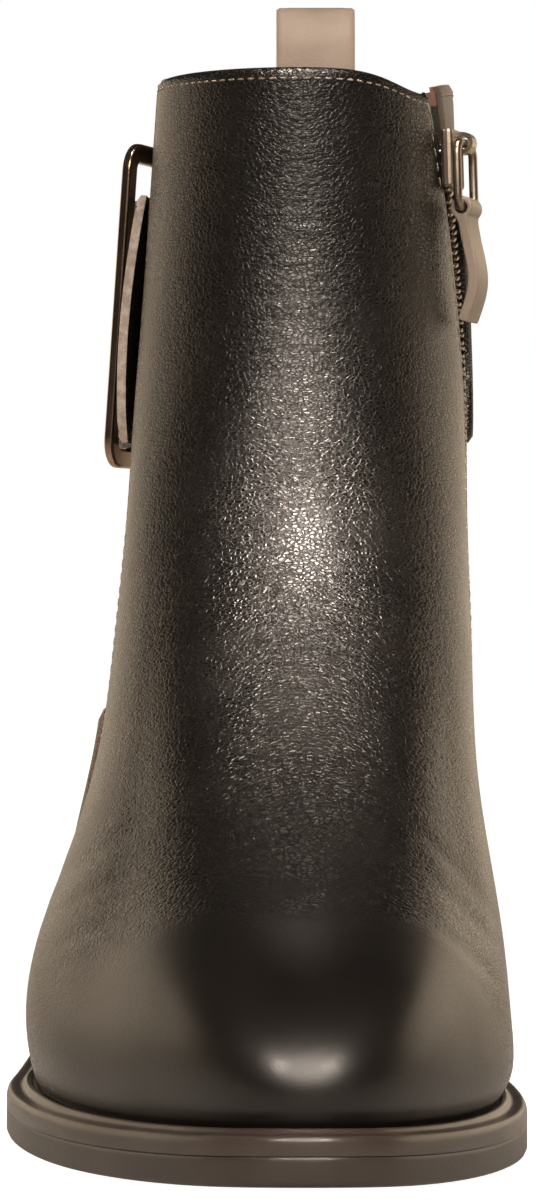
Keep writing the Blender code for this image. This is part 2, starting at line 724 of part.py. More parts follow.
def make_pull_tab(name):
    """A folded leather tab that hangs on the ring's lower bar and curls in at its end."""
    table = np.array(TAB_LINE)
    shares = np.linspace(0, 1, 16)
    line = np.stack([natural_spline(table[:, k])(shares) for k in (0, 1)], axis=-1)
    along = np.gradient(line, axis=0)
    along = along / np.linalg.norm(along, axis=-1, keepdims=True)
    normal = np.stack([-along[:, 1], along[:, 0]], axis=-1)
    eye = table[0]
    below = np.nonzero(np.linalg.norm(line - eye, axis=-1) > TAB_EYE + 0.6)[0]
    right = line[below] + normal[below] * TAB_THICKNESS / 2
    left = line[below] - normal[below] * TAB_THICKNESS / 2
    crown = np.linspace(-0.9, math.pi + 0.9, 13)
    crown = eye + TAB_EYE * np.stack([np.cos(crown), np.sin(crown)], axis=-1)
    outline = [*crown, *left, *right[::-1]]
    hole = np.linspace(0, 2 * math.pi, 12, endpoint=False)
    hole = eye + (PULL_RING_WIRE + FIT) * np.stack([np.cos(hole), np.sin(hole)], axis=-1)
    shape = extruded([[tuple(p) for p in outline], [tuple(p) for p in hole]], TAB_WIDTH)
    bmesh.ops.recalc_face_normals(shape, faces=shape.faces)
    shape.normal_update()
    rims = [edge for edge in shape.edges if edge.calc_face_angle(0.0) > 1.0]
    bmesh.ops.bevel(shape, geom=rims, offset=TAB_CHAMFER * MM, segments=1, affect="EDGES")
    stand = Matrix(((0, 1, 0), (1, 0, 0), (0, 0, 1))).to_4x4()
    centred = Matrix.Translation(Vector((-TAB_WIDTH / 2, 0, 0)) * MM) @ stand
    return mesh_from(name, shape, hinge_matrix(at_origin=True) @ centred)


def add_slider(material, parent):
    slider = add_object("zip_slider", make_slider_block("zip_slider"), material, parent)
    bail = add_object("zip_bail_shape", make_bail("zip_bail_shape"), material, parent)
    bail.hide_render = True
    bail.display_type = "WIRE"
    joined = slider.modifiers.new("bail", "BOOLEAN")
    joined.operation = "UNION"
    joined.solver = "EXACT"
    joined.object = bail


def make_outsole():
    turns = np.linspace(0, math.pi, 35)
    top = over_tread(OUTSOLE_THICKNESS)
    rims = ((0.0, over_tread(EDGE_CHAMFER)), (0.0, top))
    return slab(turns, rims, EDGE_CHAMFER, tread, top, 5, (True, True))


def make_welt():
    turns = np.linspace(0, 2 * math.pi, 72, endpoint=False)
    loops = []
    for share, height in WELT_SECTION:
        loops.append(sole_point(turns, ledge(turns) * (1 - share), OUTSOLE_THICKNESS + height))
    return tube(np.stack(loops, axis=1))


def make_insole():
    """A padded footbed on the outsole, inside the welt and the foot of the upper."""
    turns = np.linspace(0, math.pi, 31)
    inset = ledge(turns) + WALL + INSOLE_GAP
    low = OUTSOLE_THICKNESS + FIT
    high = FEATHER_TOP + INSOLE_TOP
    rims = (
        (inset, over_tread(low + INSOLE_CHAMFER)),
        (inset, over_tread(high - INSOLE_CHAMFER)),
        (inset + INSOLE_CHAMFER, over_tread(high)),
    )
    return slab(turns, rims, inset + INSOLE_CHAMFER, over_tread(low), over_tread(high), 5, (True, True))


def make_heel():
    """A block heel under the seat, narrower at the floor."""
    turns = np.linspace(0, HEEL_BREAST_TURN, 13)

    def level(share):
        return lambda y: (tread(y) - FIT) * share

    rims = [(inset, level(share)) for inset, share in HEEL_SECTION]
    return slab(turns, rims[1:], HEEL_SECTION[0][0], level(0.0), rims[-1][1], 5, (True, False))


def build():
    clear_scene()
    boot = bpy.data.objects.new("boot", None)
    bpy.context.collection.objects.link(boot)
    leather = (0.018, 0.015, 0.013)
    taupe = (0.23, 0.17, 0.13)
    bronze = (0.45, 0.33, 0.24)
    pieces = (
        ("upper", make_upper, leather, 0.4, 0.0),
        ("insole", make_insole, (0.42, 0.27, 0.19), 0.7, 0.0),
        ("outsole", make_outsole, (0.03, 0.024, 0.02), 0.5, 0.0),
        ("welt", make_welt, (0.04, 0.03, 0.024), 0.45, 0.0),
        ("heel", make_heel, (0.03, 0.024, 0.02), 0.5, 0.0),
        ("heel_counter", make_counter, taupe, 0.5, 0.0),
        ("back_strap", make_strap, leather, 0.45, 0.0),
        ("pull_loop", make_loop, taupe, 0.45, 0.0),
        ("zip_tape", make_zip_tape, (0.02, 0.018, 0.016), 0.8, 0.0),
        ("zip_chain", make_zip_chain, bronze, 0.35, 1.0),
    )
    for name, make, colour, roughness, metallic in pieces:
        points, faces = make()
        mesh = mesh_of(name, points, faces)
        add_object(name, mesh, plain_material(name, colour, roughness, metallic), boot)
    metal = plain_material("strap_slide", bronze, 0.3, 1.0)
    add_object("strap_slide", make_slide("strap_slide"), metal, boot)
    add_slider(plain_material("zip_slider", bronze, 0.3, 1.0), boot)
    hinge = tuple(hinge_frame()[0])
    points, faces = make_pull_ring()
    ring_mesh = mesh_of("pull_ring", points, faces, hinge)
    add_object("pull_ring", ring_mesh, plain_material("pull_ring", bronze, 0.3, 1.0), boot, hinge)
    tab = make_pull_tab("pull_tab")
    add_object("pull_tab", tab, plain_material("pull_tab", taupe, 0.5), boot, hinge)


build()
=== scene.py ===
import math

import bmesh
import bpy
import numpy as np
from mathutils import Matrix, Vector


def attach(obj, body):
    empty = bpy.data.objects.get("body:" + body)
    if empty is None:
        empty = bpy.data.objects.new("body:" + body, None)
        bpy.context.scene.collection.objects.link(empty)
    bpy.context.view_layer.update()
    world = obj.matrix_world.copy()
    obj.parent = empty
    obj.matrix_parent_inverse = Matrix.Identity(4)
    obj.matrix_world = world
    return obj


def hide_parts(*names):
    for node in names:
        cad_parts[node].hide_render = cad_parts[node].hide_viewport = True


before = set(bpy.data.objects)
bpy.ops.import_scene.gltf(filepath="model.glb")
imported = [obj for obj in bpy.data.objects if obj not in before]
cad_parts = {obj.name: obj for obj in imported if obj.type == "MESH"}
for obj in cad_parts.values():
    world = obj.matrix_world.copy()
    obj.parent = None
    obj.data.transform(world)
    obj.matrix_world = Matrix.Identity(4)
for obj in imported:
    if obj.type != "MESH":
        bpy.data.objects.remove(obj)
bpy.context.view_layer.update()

# Front panel: one piece of near-black grained calf leather, from the toe up to the collar.
# It is pulled over the last, turned in at the collar and laps over the quarter along the outer seam.
# The last's own sizes come first, in millimetres: toe along -Y, inner side of the foot along +X.
MM = 0.001
LENGTH = 254.0
BALL_BREADTH = 84.0
COLLAR_RISE = 184.0
HEEL_HEIGHT = 42.0
TOE_SPRING = 5.0
SPRING_LENGTH = 70.0
ARCH_START = 112.0
ARCH_END = 226.0
SEAT_SLOPE = 0.045
BACK_X = 10.2
FRONT_X = 5.8
TOE_Y = -LENGTH / 2
FIT = 0.3
OUTSOLE_THICKNESS = 4.7
WELT_THICKNESS = 3.4
FEATHER_TOP = OUTSOLE_THICKNESS + WELT_THICKNESS + 2 * FIT
WALL = 2.7
LAP = 0.8

# Sections of the last from the feather edge to the collar, in percent of length, rise and breadth
SECTION_COLUMNS = (
    *("front_y", "front_rise", "back_y", "back_rise"),
    *("sag", "lateral", "medial", "oval", "blunt"),
)
SECTIONS = (
    (2.6, 0.0, 97.4, 0.0, 1.00, 58.8, 39.6, 0.00, 0.00),
    (1.9, 2.6, 98.3, 3.3, 1.00, 60.5, 43.1, 0.00, 0.16),
    (2.9, 6.8, 98.7, 7.9, 0.96, 61.3, 43.1, 0.05, 0.34),
    (6.8, 11.6, 98.7, 13.3, 0.84, 58.9, 42.4, 0.15, 0.46),
    (14.5, 15.6, 98.3, 19.6, 0.62, 53.3, 41.0, 0.35, 0.46),
    (26.5, 21.3, 97.5, 26.9, 0.36, 47.8, 39.1, 0.60, 0.40),
    (39.0, 30.9, 96.8, 35.1, 0.15, 45.0, 38.7, 0.82, 0.27),
    (50.6, 43.4, 96.4, 43.5, 0.03, 43.1, 38.1, 0.96, 0.12),
    (59.1, 57.1, 96.4, 52.2, 0.00, 41.9, 38.4, 1.00, 0.03),
    (62.8, 71.7, 96.8, 61.4, 0.00, 40.1, 38.0, 1.00, 0.00),
    (63.8, 86.1, 97.5, 71.2, 0.00, 38.3, 37.3, 1.00, 0.00),
    (63.6, 100.0, 98.3, 81.0, 0.00, 36.5, 36.4, 1.00, 0.00),
)
FOOT_LATERAL = (1.16, 0.99, 0.74, 0.955, 0.965, 0.73, 0.70)
FOOT_MEDIAL = (1.68, 1.45, 0.945, 0.85, 1.085, 0.98, 1.04)
BLUNT_FROM = 0.70

# Seams as turns from the back, evenly spaced from the feather edge to the collar
LATERAL_SEAM = (1.30, 1.50, 1.66, 1.76, 1.80)
ZIP_LINE = (1.50, 1.56, 1.65, 1.74, 2.19)
ZIP_WIDTH = 7.0
COLLAR_DIP_FRONT = 0.0145
COLLAR_DIP_BACK = 0.009
COLLAR_DIP_SPREAD = 0.36


def natural_spline(values):
    """A smooth curve through evenly spaced values, as a function of a share from 0 to 1."""
    values = np.asarray(values, float)
    spans = len(values) - 1
    system = np.eye(spans + 1)
    right = np.zeros(spans + 1)
    for i in range(1, spans):
        system[i, i - 1 : i + 2] = (1, 4, 1)
        right[i] = 6 * (values[i - 1] - 2 * values[i] + values[i + 1])
    bend = np.linalg.solve(system, right)

    def at(share):
        place = np.clip(np.asarray(share, float), 0, 1) * spans
        i = np.minimum(place.astype(int), spans - 1)
        u = place - i
        w = 1 - u
        bow = (w**3 - w) * bend[i] + (u**3 - u) * bend[i + 1]
        return w * values[i] + u * values[i + 1] + bow / 6

    return at


def ease(share):
    share = np.clip(share, 0, 1)
    return share * share * (3 - 2 * share)


def last_curves():
    scale = dict.fromkeys(("front_y", "back_y"), LENGTH / 100)
    scale.update(dict.fromkeys(("front_rise", "back_rise"), COLLAR_RISE / 100))
    scale.update(dict.fromkeys(("lateral", "medial"), BALL_BREADTH / 100))
    columns = zip(SECTION_COLUMNS, zip(*SECTIONS))
    return {name: natural_spline(np.array(column) * scale.get(name, 1)) for name, column in columns}


CURVES = last_curves()
FOOT = {"lateral": natural_spline(FOOT_LATERAL), "medial": natural_spline(FOOT_MEDIAL)}
TOE_END = float(CURVES["front_y"](0))
HEEL_END = float(CURVES["back_y"](0))
seam_turn = natural_spline(LATERAL_SEAM)
zip_turn = natural_spline(ZIP_LINE)


def tread(y):
    """Height of the sole's underside at a distance from the toe."""
    y = np.asarray(y, float)
    spring = TOE_SPRING * np.clip(1 - y / SPRING_LENGTH, 0, None) ** 2
    arch = HEEL_HEIGHT * ease((y - ARCH_START) / (ARCH_END - ARCH_START))
    return spring + arch + SEAT_SLOPE * np.clip(y - ARCH_END, 0, None)


def form(turn, up):
    """The last's face. turn runs from the back round the outer side, up from feather to collar."""
    turn, up = np.broadcast_arrays(np.asarray(turn, float), np.asarray(up, float))
    along = (1 - np.cos(turn)) / 2
    row = {name: curve(up) for name, curve in CURVES.items()}
    y = row["back_y"] + (row["front_y"] - row["back_y"]) * along
    chord = tread(HEEL_END) + (tread(TOE_END) - tread(HEEL_END)) * along
    sole = tread(HEEL_END + (TOE_END - HEEL_END) * along)
    rise = row["back_rise"] + (row["front_rise"] - row["back_rise"]) * along
    z = FEATHER_TOP + chord + rise + row["sag"] * (sole - chord)
    side = np.sin(turn)
    fold = np.arccos(np.cos(turn)) / np.pi
    half = {}
    for name, foot in FOOT.items():
        half[name] = row[name] * (foot(fold) * (1 - row["oval"]) + row["oval"])
    reach = side * np.where(side > 0, half["lateral"], half["medial"])
    reach = reach * (1 + row["blunt"] * ease((fold - BLUNT_FROM) / (1 - BLUNT_FROM)))
    x = BACK_X + (FRONT_X - BACK_X) * along - reach
    return np.stack([x, y + TOE_Y, z], axis=-1)


def form_frame(turn, up):
    """Unit vectors round, up and out of the last's face."""
    step = 1e-3
    around = form(np.add(turn, step), up) - form(np.subtract(turn, step), up)
    above = np.minimum(np.add(up, step), 1)
    below = np.maximum(np.subtract(up, step), 0)
    rising = form(turn, above) - form(turn, below)
    out = np.cross(around, rising)
    return [v / np.linalg.norm(v, axis=-1, keepdims=True) for v in (around, rising, out)]


def skin(turn, up, lift):
    """A point at a height over the last's face, under it when negative."""
    return form(turn, up) + form_frame(turn, up)[2] * np.asarray(lift, float)[..., None]


def turn_of(width, turn, up):
    """The turn that covers a width of the last's face."""
    step = 1e-3
    across = form(np.add(turn, step), up) - form(np.subtract(turn, step), up)
    return width * 2 * step / np.linalg.norm(across, axis=-1)


def zip_edges(up):
    """Turns of the front and back edges of the zip's slot."""
    front = 2 * np.pi - zip_turn(up)
    return front, front + turn_of(ZIP_WIDTH, front, up)


def collar(turn):
    """The top of the upper, lower at the zip."""
    corner = zip_edges(1.0)[0]
    away = np.mod(turn, 2 * np.pi) - corner
    depth = np.where(away <= 0, COLLAR_DIP_FRONT, COLLAR_DIP_BACK)
    return 1 - depth * np.exp(-((away / COLLAR_DIP_SPREAD) ** 2))


def run(points, axis):
    """Length along a grid's lines from its first row or column."""
    steps = np.linalg.norm(np.diff(points, axis=axis), axis=-1)
    start = np.zeros_like(np.take(steps, [0], axis=axis))
    return np.concatenate([start, np.cumsum(steps, axis=axis)], axis=axis)


def turned_edge(distance, radius, depth):
    """How far a turned or skived edge has dropped at a distance from its end."""
    share = np.clip(1 - distance / radius, 0, 1)
    return depth * (np.sqrt(1 - share**2) - 1)


def shell(outer, inner):
    """Points and faces of a sheet: outer face, inner face, then its edges, lower, last, upper, first."""
    rows, columns = outer.shape[:2]
    count = rows * columns
    number = np.arange(count).reshape(rows, columns)
    corners = (number[:-1, :-1], number[:-1, 1:], number[1:, 1:], number[1:, :-1])
    face = np.stack(corners, axis=-1).reshape(-1, 4)
    borders = (
        (number[0, :-1], number[0, 1:]),
        (number[:-1, -1], number[1:, -1]),
        (number[-1, 1:], number[-1, :-1]),
        (number[1:, 0], number[:-1, 0]),
    )
    walls = [np.stack([q, p, p + count, q + count], axis=-1) for p, q in borders]
    faces = np.concatenate([face, face[:, ::-1] + count, *walls])
    return np.concatenate([outer.reshape(-1, 3), inner.reshape(-1, 3)]), faces


def linked(name, data):
    """An object in the scene that carries a mesh, a light or a camera."""
    item = bpy.data.objects.new(name, data)
    bpy.context.scene.collection.objects.link(item)
    return item


def make_piece(name, points, faces, *finishes):
    """A smooth mesh from points in millimetres."""
    mesh = bpy.data.meshes.new(name)
    mesh.from_pydata((np.asarray(points) * MM).tolist(), [], np.asarray(faces).tolist())
    for finish in finishes:
        mesh.materials.append(finish)
    mesh.shade_smooth()
    return linked(name, mesh)


def soft_edges(item, degrees):
    """Keeps corners sharper than an angle as edges in the shading."""
    item.data.set_sharp_from_angle(angle=math.radians(degrees))


def sheet(name, turn, up, high, low, *finishes, corner=60):
    """A sheet of leather or tape over the last, between two heights over its face."""
    item = make_piece(name, *shell(skin(turn, up, high), skin(turn, up, low)), *finishes)
    soft_edges(item, corner)
    return item


def fit(item, body, slot, *nodes):
    """Puts a piece on its body and hides the solids it stands for; slot is not used."""
    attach(item, body)
    if nodes:
        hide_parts(*nodes)


def paint(item, name, values):
    """A value at each point that a finish can read."""
    attribute = item.data.attributes.new(name, "FLOAT", "POINT")
    attribute.data.foreach_set("value", np.asarray(values, np.float32).reshape(-1))


def put(tree, made, inputs):
    """Values on a node's inputs, or links to them."""
    for key, value in inputs.items():
        if isinstance(value, bpy.types.NodeSocket):
            tree.links.new(value, made.inputs[key])
        else:
            made.inputs[key].default_value = value


def node(tree, kind, inputs=(), **options):
    """A shader or geometry node with its options, and values or links on its inputs."""
    made = tree.nodes.new(kind)
    for key, value in options.items():
        setattr(made, key, value)
    put(tree, made, dict(inputs))
    return made


def new_finish(name):
    material = bpy.data.materials.new(name)
    material.use_nodes = True
    tree = material.node_tree
    place = node(tree, "ShaderNodeTexCoord").outputs["Object"]
    return material, tree, tree.nodes["Principled BSDF"], place


def noise(tree, place, scale, detail, **more):
    """Soft random values, with a scale in cycles to the metre."""
    inputs = {"Vector": place, "Scale": scale, "Detail": detail, **more}
    return node(tree, "ShaderNodeTexNoise", inputs).outputs["Fac"]


def blotches(tree, place, size, colours, spread=(0.35, 0.65)):
    """Colour that drifts between two shades over a size in millimetres."""
    ramp = node(tree, "ShaderNodeValToRGB", {"Fac": noise(tree, place, 1 / (size * MM), 4.0)})
    for stop, at, colour in zip(ramp.color_ramp.elements, spread, colours):
        stop.position = at
        stop.color = (*colour, 1)
    return ramp.outputs["Color"]


def spread_between(tree, value, low, high, source=(0.0, 1.0)):
    """A value carried from one range to another."""
    inputs = {"Value": value, "From Min": source[0], "From Max": source[1], "To Min": low, "To Max": high}
    return node(tree, "ShaderNodeMapRange", inputs).outputs["Result"]


def reckoned(tree, operation, *values):
    """A sum or a product of values."""
    return node(tree, "ShaderNodeMath", dict(enumerate(values)), operation=operation).outputs[0]


def summed(tree, *parts):
    """Heights added up, each with its share."""
    total = 0.0
    for height, share in parts:
        total = reckoned(tree, "MULTIPLY_ADD", height, share, total)
    return total


def relief(tree, height, strength, depth):
    """Fine relief of a face, its depth in millimetres."""
    inputs = {"Height": height, "Strength": strength, "Distance": depth * MM}
    return node(tree, "ShaderNodeBump", inputs).outputs["Normal"]


def stretched(tree, place, scale):
    return node(tree, "ShaderNodeMapping", {"Vector": place, "Scale": scale}).outputs["Vector"]


def grain(tree, place, cell):
    """Pebbled leather grain, its cells wider than tall, with soft uneven furrows between them."""
    wide = stretched(tree, place, (0.62, 0.62, 1.0))
    warp = node(tree, "ShaderNodeTexNoise", {"Vector": wide, "Scale": 0.45 / (cell * MM), "Detail": 1.0})
    drift = {0: warp.outputs["Color"], "Scale": 0.9 * cell * MM}
    drift = node(tree, "ShaderNodeVectorMath", drift, operation="SCALE").outputs[0]
    bent = node(tree, "ShaderNodeVectorMath", {0: wide, 1: drift}, operation="ADD").outputs[0]
    size = {"Vector": bent, "Scale": 1 / (cell * MM)}
    cells = node(tree, "ShaderNodeTexVoronoi", size, feature="DISTANCE_TO_EDGE")
    return spread_between(tree, cells.outputs["Distance"], 0.0, 1.0, (0.0, 0.2))


def black_leather():
    """Aniline black with a warm brown ground, polished at the toe and folded fine where the boot bends."""
    material, tree, shader, place = new_finish("black_grained_leather")
    polish = node(tree, "ShaderNodeAttribute", attribute_name="polish").outputs["Fac"]
    flex = node(tree, "ShaderNodeAttribute", attribute_name="flex").outputs["Fac"]
    pebbles = grain(tree, place, 0.65)
    swell = noise(tree, place, 850.0, 1.0)
    fine = noise(tree, place, 5200.0, 2.0)
    folds = noise(tree, stretched(tree, place, (130.0, 130.0, 760.0)), 1.0, 3.0, Distortion=0.6)
    folds = reckoned(tree, "MULTIPLY", folds, flex)
    dull = spread_between(tree, noise(tree, place, 45.0, 5.0), 0.29, 0.36, (0.3, 0.7))
    dull = reckoned(tree, "MULTIPLY_ADD", polish, 0.07, dull)
    height = summed(tree, (pebbles, 0.5), (swell, 1.1), (fine, 0.05), (folds, 2.0))
    face = {
        "Base Color": blotches(tree, place, 16.0, ((0.0060, 0.0048, 0.0040), (0.0100, 0.0081, 0.0066))),
        "Roughness": reckoned(tree, "MULTIPLY_ADD", pebbles, -0.06, dull),
        "Normal": relief(tree, height, spread_between(tree, polish, 1.0, 0.1), 0.12),
        "Specular IOR Level": 0.55,
        "Coat Weight": 0.1,
        "Coat Roughness": 0.35,
    }
    put(tree, shader, face)
    return material


# Worn-in creases in the front view: middle (x, z), half length, slope, bow, half width and depth
CREASES = (
    (6.4, 163.3, 3.6, -0.12, 0.03, 0.8, 0.13),
    (12.5, 163.4, 4.0, 0.13, 0.03, 0.8, 0.12),
    (10.0, 161.0, 6.5, 0.02, 0.04, 0.9, 0.09),
    (4.0, 166.5, 5.0, 0.03, 0.04, 0.9, 0.06),
    (5.0, 153.0, 6.0, -0.10, 0.05, 0.9, 0.12),
    (11.5, 150.5, 5.0, 0.05, 0.04, 0.8, 0.09),
    (3.5, 147.6, 6.5, -0.06, 0.06, 0.9, 0.11),
    (9.5, 145.2, 5.5, 0.06, 0.05, 0.8, 0.08),
    (5.5, 141.5, 6.0, -0.05, 0.05, 1.0, 0.08),
    (10.5, 137.4, 6.5, 0.04, 0.05, 1.0, 0.08),
    (6.0, 131.0, 7.0, -0.03, 0.04, 1.1, 0.07),
    (9.0, 124.5, 7.5, 0.03, 0.04, 1.2, 0.06),
    (4.0, 56.5, 16.0, 0.0, -0.02, 0.8, 0.07),
    (7.0, 52.8, 14.0, 0.0, -0.02, 0.8, 0.08),
    (3.0, 49.8, 12.0, 0.0, -0.02, 0.8, 0.07),
    (-29.0, 38.5, 9.0, 0.50, -0.10, 1.1, 0.14),
    (-30.5, 43.5, 9.0, 0.58, -0.10, 1.1, 0.12),
    (-31.0, 48.5, 8.0, 0.66, -0.10, 1.2, 0.10),
    (-27.0, 52.5, 9.0, 0.60, -0.08, 1.2, 0.08),
    (33.5, 35.5, 6.0, -0.95, -0.12, 1.1, 0.13),
    (34.0, 41.0, 6.0, -1.05, -0.12, 1.1, 0.12),
    (33.5, 46.5, 6.0, -1.10, -0.10, 1.2, 0.10),
    (30.0, 51.0, 7.0, -0.90, -0.08, 1.2, 0.08),
)
PANEL_ROWS = 250
PANEL_COLUMNS = 176
PANEL_THICKNESS = 1.6
SEAM_ALLOWANCE = 5.0
SLIP = 0.02
COLLAR_STITCH = 2.2
EDGE_STITCH = 1.7
PUFF_LENGTH = 44.0
PUFF_ARCH = 0.017


def creased(points):
    """Height of the creases, each a soft trough between two low ridges."""
    lift = np.zeros(points.shape[:2])
    for x, z, half, slope, bow, width, depth in CREASES:
        along = points[..., 0] - x
        off = (points[..., 2] - z - slope * along - bow * along**2 / half) / width
        fade = np.exp(-((along / half) ** 4))
        ridges = 0.4 * np.exp(-((np.abs(off) - 1.7) ** 2))
        lift += depth * fade * (ridges - np.exp(-(off**2)))
    return lift


def sewn_groove(distance, line, depth=0.14):
    """The dent that a pulled-tight seam leaves in the leather."""
    return -depth * np.exp(-(((distance - line) / 0.6) ** 2))


def across(start, finish, columns):
    """Turns spread evenly from one edge of a piece to the other, row by row."""
    share = np.linspace(0, 1, columns)
    return start[:, None] * (1 - share) + finish[:, None] * share


panel_up = np.linspace(0, 1, PANEL_ROWS)
panel_turn = across(seam_turn(panel_up), zip_edges(panel_up)[0], PANEL_COLUMNS)
panel_up = panel_up[:, None] * collar(panel_turn)
panel_base = form(panel_turn, panel_up)
panel_across = run(panel_base, 1)
panel_to_zip = panel_across[:, -1:] - panel_across
panel_rise = run(panel_base, 0)
panel_to_top = panel_rise[-1:] - panel_rise
panel_lift = creased(panel_base)
panel_lift += turned_edge(panel_across, 0.9, LAP - SLIP) + turned_edge(panel_to_zip, 0.9, 0.8)
panel_lift += turned_edge(panel_to_top, 1.3, 1.1)
panel_lift += sewn_groove(panel_to_top, COLLAR_STITCH) + sewn_groove(panel_across, EDGE_STITCH)
panel_lift += sewn_groove(panel_to_zip, EDGE_STITCH)
panel_under = -LAP + SLIP - (PANEL_THICKNESS - LAP) * ease(panel_across / SEAM_ALLOWANCE - 1)
panel_finish = black_leather()
front_panel = sheet("front_panel", panel_turn, panel_up, panel_lift, panel_under, panel_finish)
panel_x, panel_y, panel_z = np.moveaxis(panel_base, -1, 0)
puff_edge = TOE_Y + PUFF_LENGTH + PUFF_ARCH * (panel_x - FRONT_X) ** 2
toe_polish = ease((puff_edge + 4 - panel_y) / 16)
shaft_flex = ease((panel_z - 95) / 35) * np.exp(-(((panel_x - 8) / 20) ** 2))
vamp_flex = ease((panel_y - puff_edge) / 6) * ease((puff_edge + 42 - panel_y) / 26)
paint(front_panel, "polish", np.tile(toe_polish.reshape(-1), 2))
paint(front_panel, "flex", np.tile(np.maximum(shaft_flex, 0.7 * vamp_flex).reshape(-1), 2))
fit(front_panel, "boot", "black_leather", "upper")

# Quarters: taupe calf leather, its colour darkened as painted shade, cut in one piece from the zip round
# the back to the outer seam.
# They go under the front panel there and below the zip, and are turned in at collar and zip.
QUARTER_ROWS = 190
QUARTER_COLUMNS = 120
QUARTER_OUTER = -LAP - SLIP
QUARTER_INNER = -1.6
UNDERLAP = 3.5
ZIP_BOTTOM = 0.53
ZIP_END = 0.004


def taupe_leather(name, light, dark, rough, cell=0.5):
    """Grained taupe leather with a soft waxed face."""
    material, tree, shader, place = new_finish(name)
    worn = noise(tree, place, 60.0, 5.0)
    height = summed(tree, (grain(tree, place, cell), 0.5), (noise(tree, place, 4200.0, 2.0), 0.3))
    face = {
        "Base Color": blotches(tree, place, 9.0, (dark, light)),
        "Roughness": spread_between(tree, worn, rough - 0.05, rough + 0.08, (0.3, 0.7)),
        "Normal": relief(tree, height, 0.8, 0.07),
        "Specular IOR Level": 0.5,
        "Coat Weight": 0.08,
        "Coat Roughness": 0.3,
    }
    put(tree, shader, face)
    return material


quarter_up = np.linspace(0, 1, QUARTER_ROWS)
zip_front, zip_back = zip_edges(quarter_up)
beside_zip = ease((quarter_up - ZIP_BOTTOM + ZIP_END) / (2 * ZIP_END))
under_panel = zip_front - turn_of(UNDERLAP, zip_front, quarter_up)
quarter_start = under_panel + (zip_back - under_panel) * beside_zip
quarter_seam = seam_turn(quarter_up)
quarter_finish = 2 * np.pi + quarter_seam + turn_of(UNDERLAP, quarter_seam, quarter_up)
quarter_turn = across(quarter_start, quarter_finish, QUARTER_COLUMNS)
quarter_up = quarter_up[:, None] * collar(quarter_turn)
quarter_base = form(quarter_turn, quarter_up)
quarter_across = run(quarter_base, 1)
quarter_rise = run(quarter_base, 0)
quarter_to_top = quarter_rise[-1:] - quarter_rise
quarter_lift = QUARTER_OUTER + turned_edge(quarter_to_top, 1.0, 0.7)
quarter_lift += turned_edge(quarter_across, 0.8, 0.6) * beside_zip[:, None]
quarter_lift += sewn_groove(quarter_to_top, COLLAR_STITCH)
# The quarters' taupe is the loop's leather painted much darker: painted shade where the quarters face
# sideways, away from the lights.
quarter_painted_shade_leather = taupe_leather("taupe_quarter_painted_shade", (0.105, 0.078, 0.060), (0.078, 0.057, 0.044), 0.46)
quarters = sheet("quarters", quarter_turn, quarter_up, quarter_lift, QUARTER_INNER, quarter_painted_shade_leather)
fit(quarters, "boot", "taupe_leather", "upper")

# Lining: thin salmon pigskin inside the whole upper, glued in and stitched round the collar.
# It is open along the zip and goes down to the insole.
LINING_OUTER = -1.65
LINING_INNER = -2.65
LINING_ROWS = 110
LINING_COLUMNS = 190


def lining_leather():
    material, tree, shader, place = new_finish("salmon_lining_leather")
    pores = node(tree, "ShaderNodeTexVoronoi", {"Vector": place, "Scale": 900.0}).outputs["Distance"]
    fine = noise(tree, place, 3000.0, 3.0)
    face = {
        "Base Color": blotches(tree, place, 22.0, ((0.40, 0.21, 0.145), (0.50, 0.28, 0.20))),
        "Roughness": spread_between(tree, fine, 0.55, 0.75),
        "Normal": relief(tree, summed(tree, (pores, 0.4), (fine, 0.5)), 0.5, 0.08),
        "Sheen Weight": 0.15,
    }
    put(tree, shader, face)
    return material


lining_up = np.linspace(0, 1, LINING_ROWS)
zip_front, zip_back = zip_edges(lining_up)
slot_open = ease((lining_up - ZIP_BOTTOM + ZIP_END) / (2 * ZIP_END))
lining_start = zip_front + (zip_back - zip_front) * (0.5 + 0.5 * slot_open)
lining_finish = 2 * np.pi + zip_front + (zip_back - zip_front) * (0.499 - 0.499 * slot_open)
lining_turn = across(lining_start, lining_finish, LINING_COLUMNS)
lining_up = lining_up[:, None] * collar(lining_turn)
inside_leather = lining_leather()
lining = sheet("lining", lining_turn, lining_up, LINING_OUTER, LINING_INNER, inside_leather)
fit(lining, "boot", "lining_leather", "upper")

# Zip tape: woven black polyester behind the slot, sewn in between leather and lining.
# Both halves are made as one band, because the zip is closed.
TAPE_OUTER = -1.45
TAPE_INNER = -2.45
TAPE_TOP = 0.985
TAPE_ROWS = 90
TAPE_COLUMNS = 9


def ribs(tree, place, scale, distortion, direction):
    """Even ribs across a direction."""
    inputs = {"Vector": place, "Scale": scale, "Distortion": distortion}
    return node(tree, "ShaderNodeTexWave", inputs, bands_direction=direction).outputs["Fac"]


def woven_tape():
    material, tree, shader, place = new_finish("woven_zip_tape")
    weave = [(ribs(tree, place, 420.0, 0.4, direction), 0.5) for direction in "ZY"]
    face = {
        "Base Color": blotches(tree, place, 3.0, ((0.010, 0.008, 0.007), (0.022, 0.018, 0.015))),
        "Roughness": 0.85,
        "Normal": relief(tree, summed(tree, *weave), 0.6, 0.15),
    }
    put(tree, shader, face)
    return material


tape_up = np.linspace(ZIP_BOTTOM + ZIP_END, TAPE_TOP, TAPE_ROWS)
zip_front, zip_back = zip_edges(tape_up)
tape_margin = turn_of(FIT, zip_front, tape_up)
tape_turn = across(zip_front + tape_margin, zip_back - tape_margin, TAPE_COLUMNS)
tape_up = tape_up[:, None] * collar(tape_turn)
zip_tape = sheet("zip_tape_woven", tape_turn, tape_up, TAPE_OUTER, TAPE_INNER, woven_tape(), corner=50)
fit(zip_tape, "boot", "zip_tape", "zip_tape")

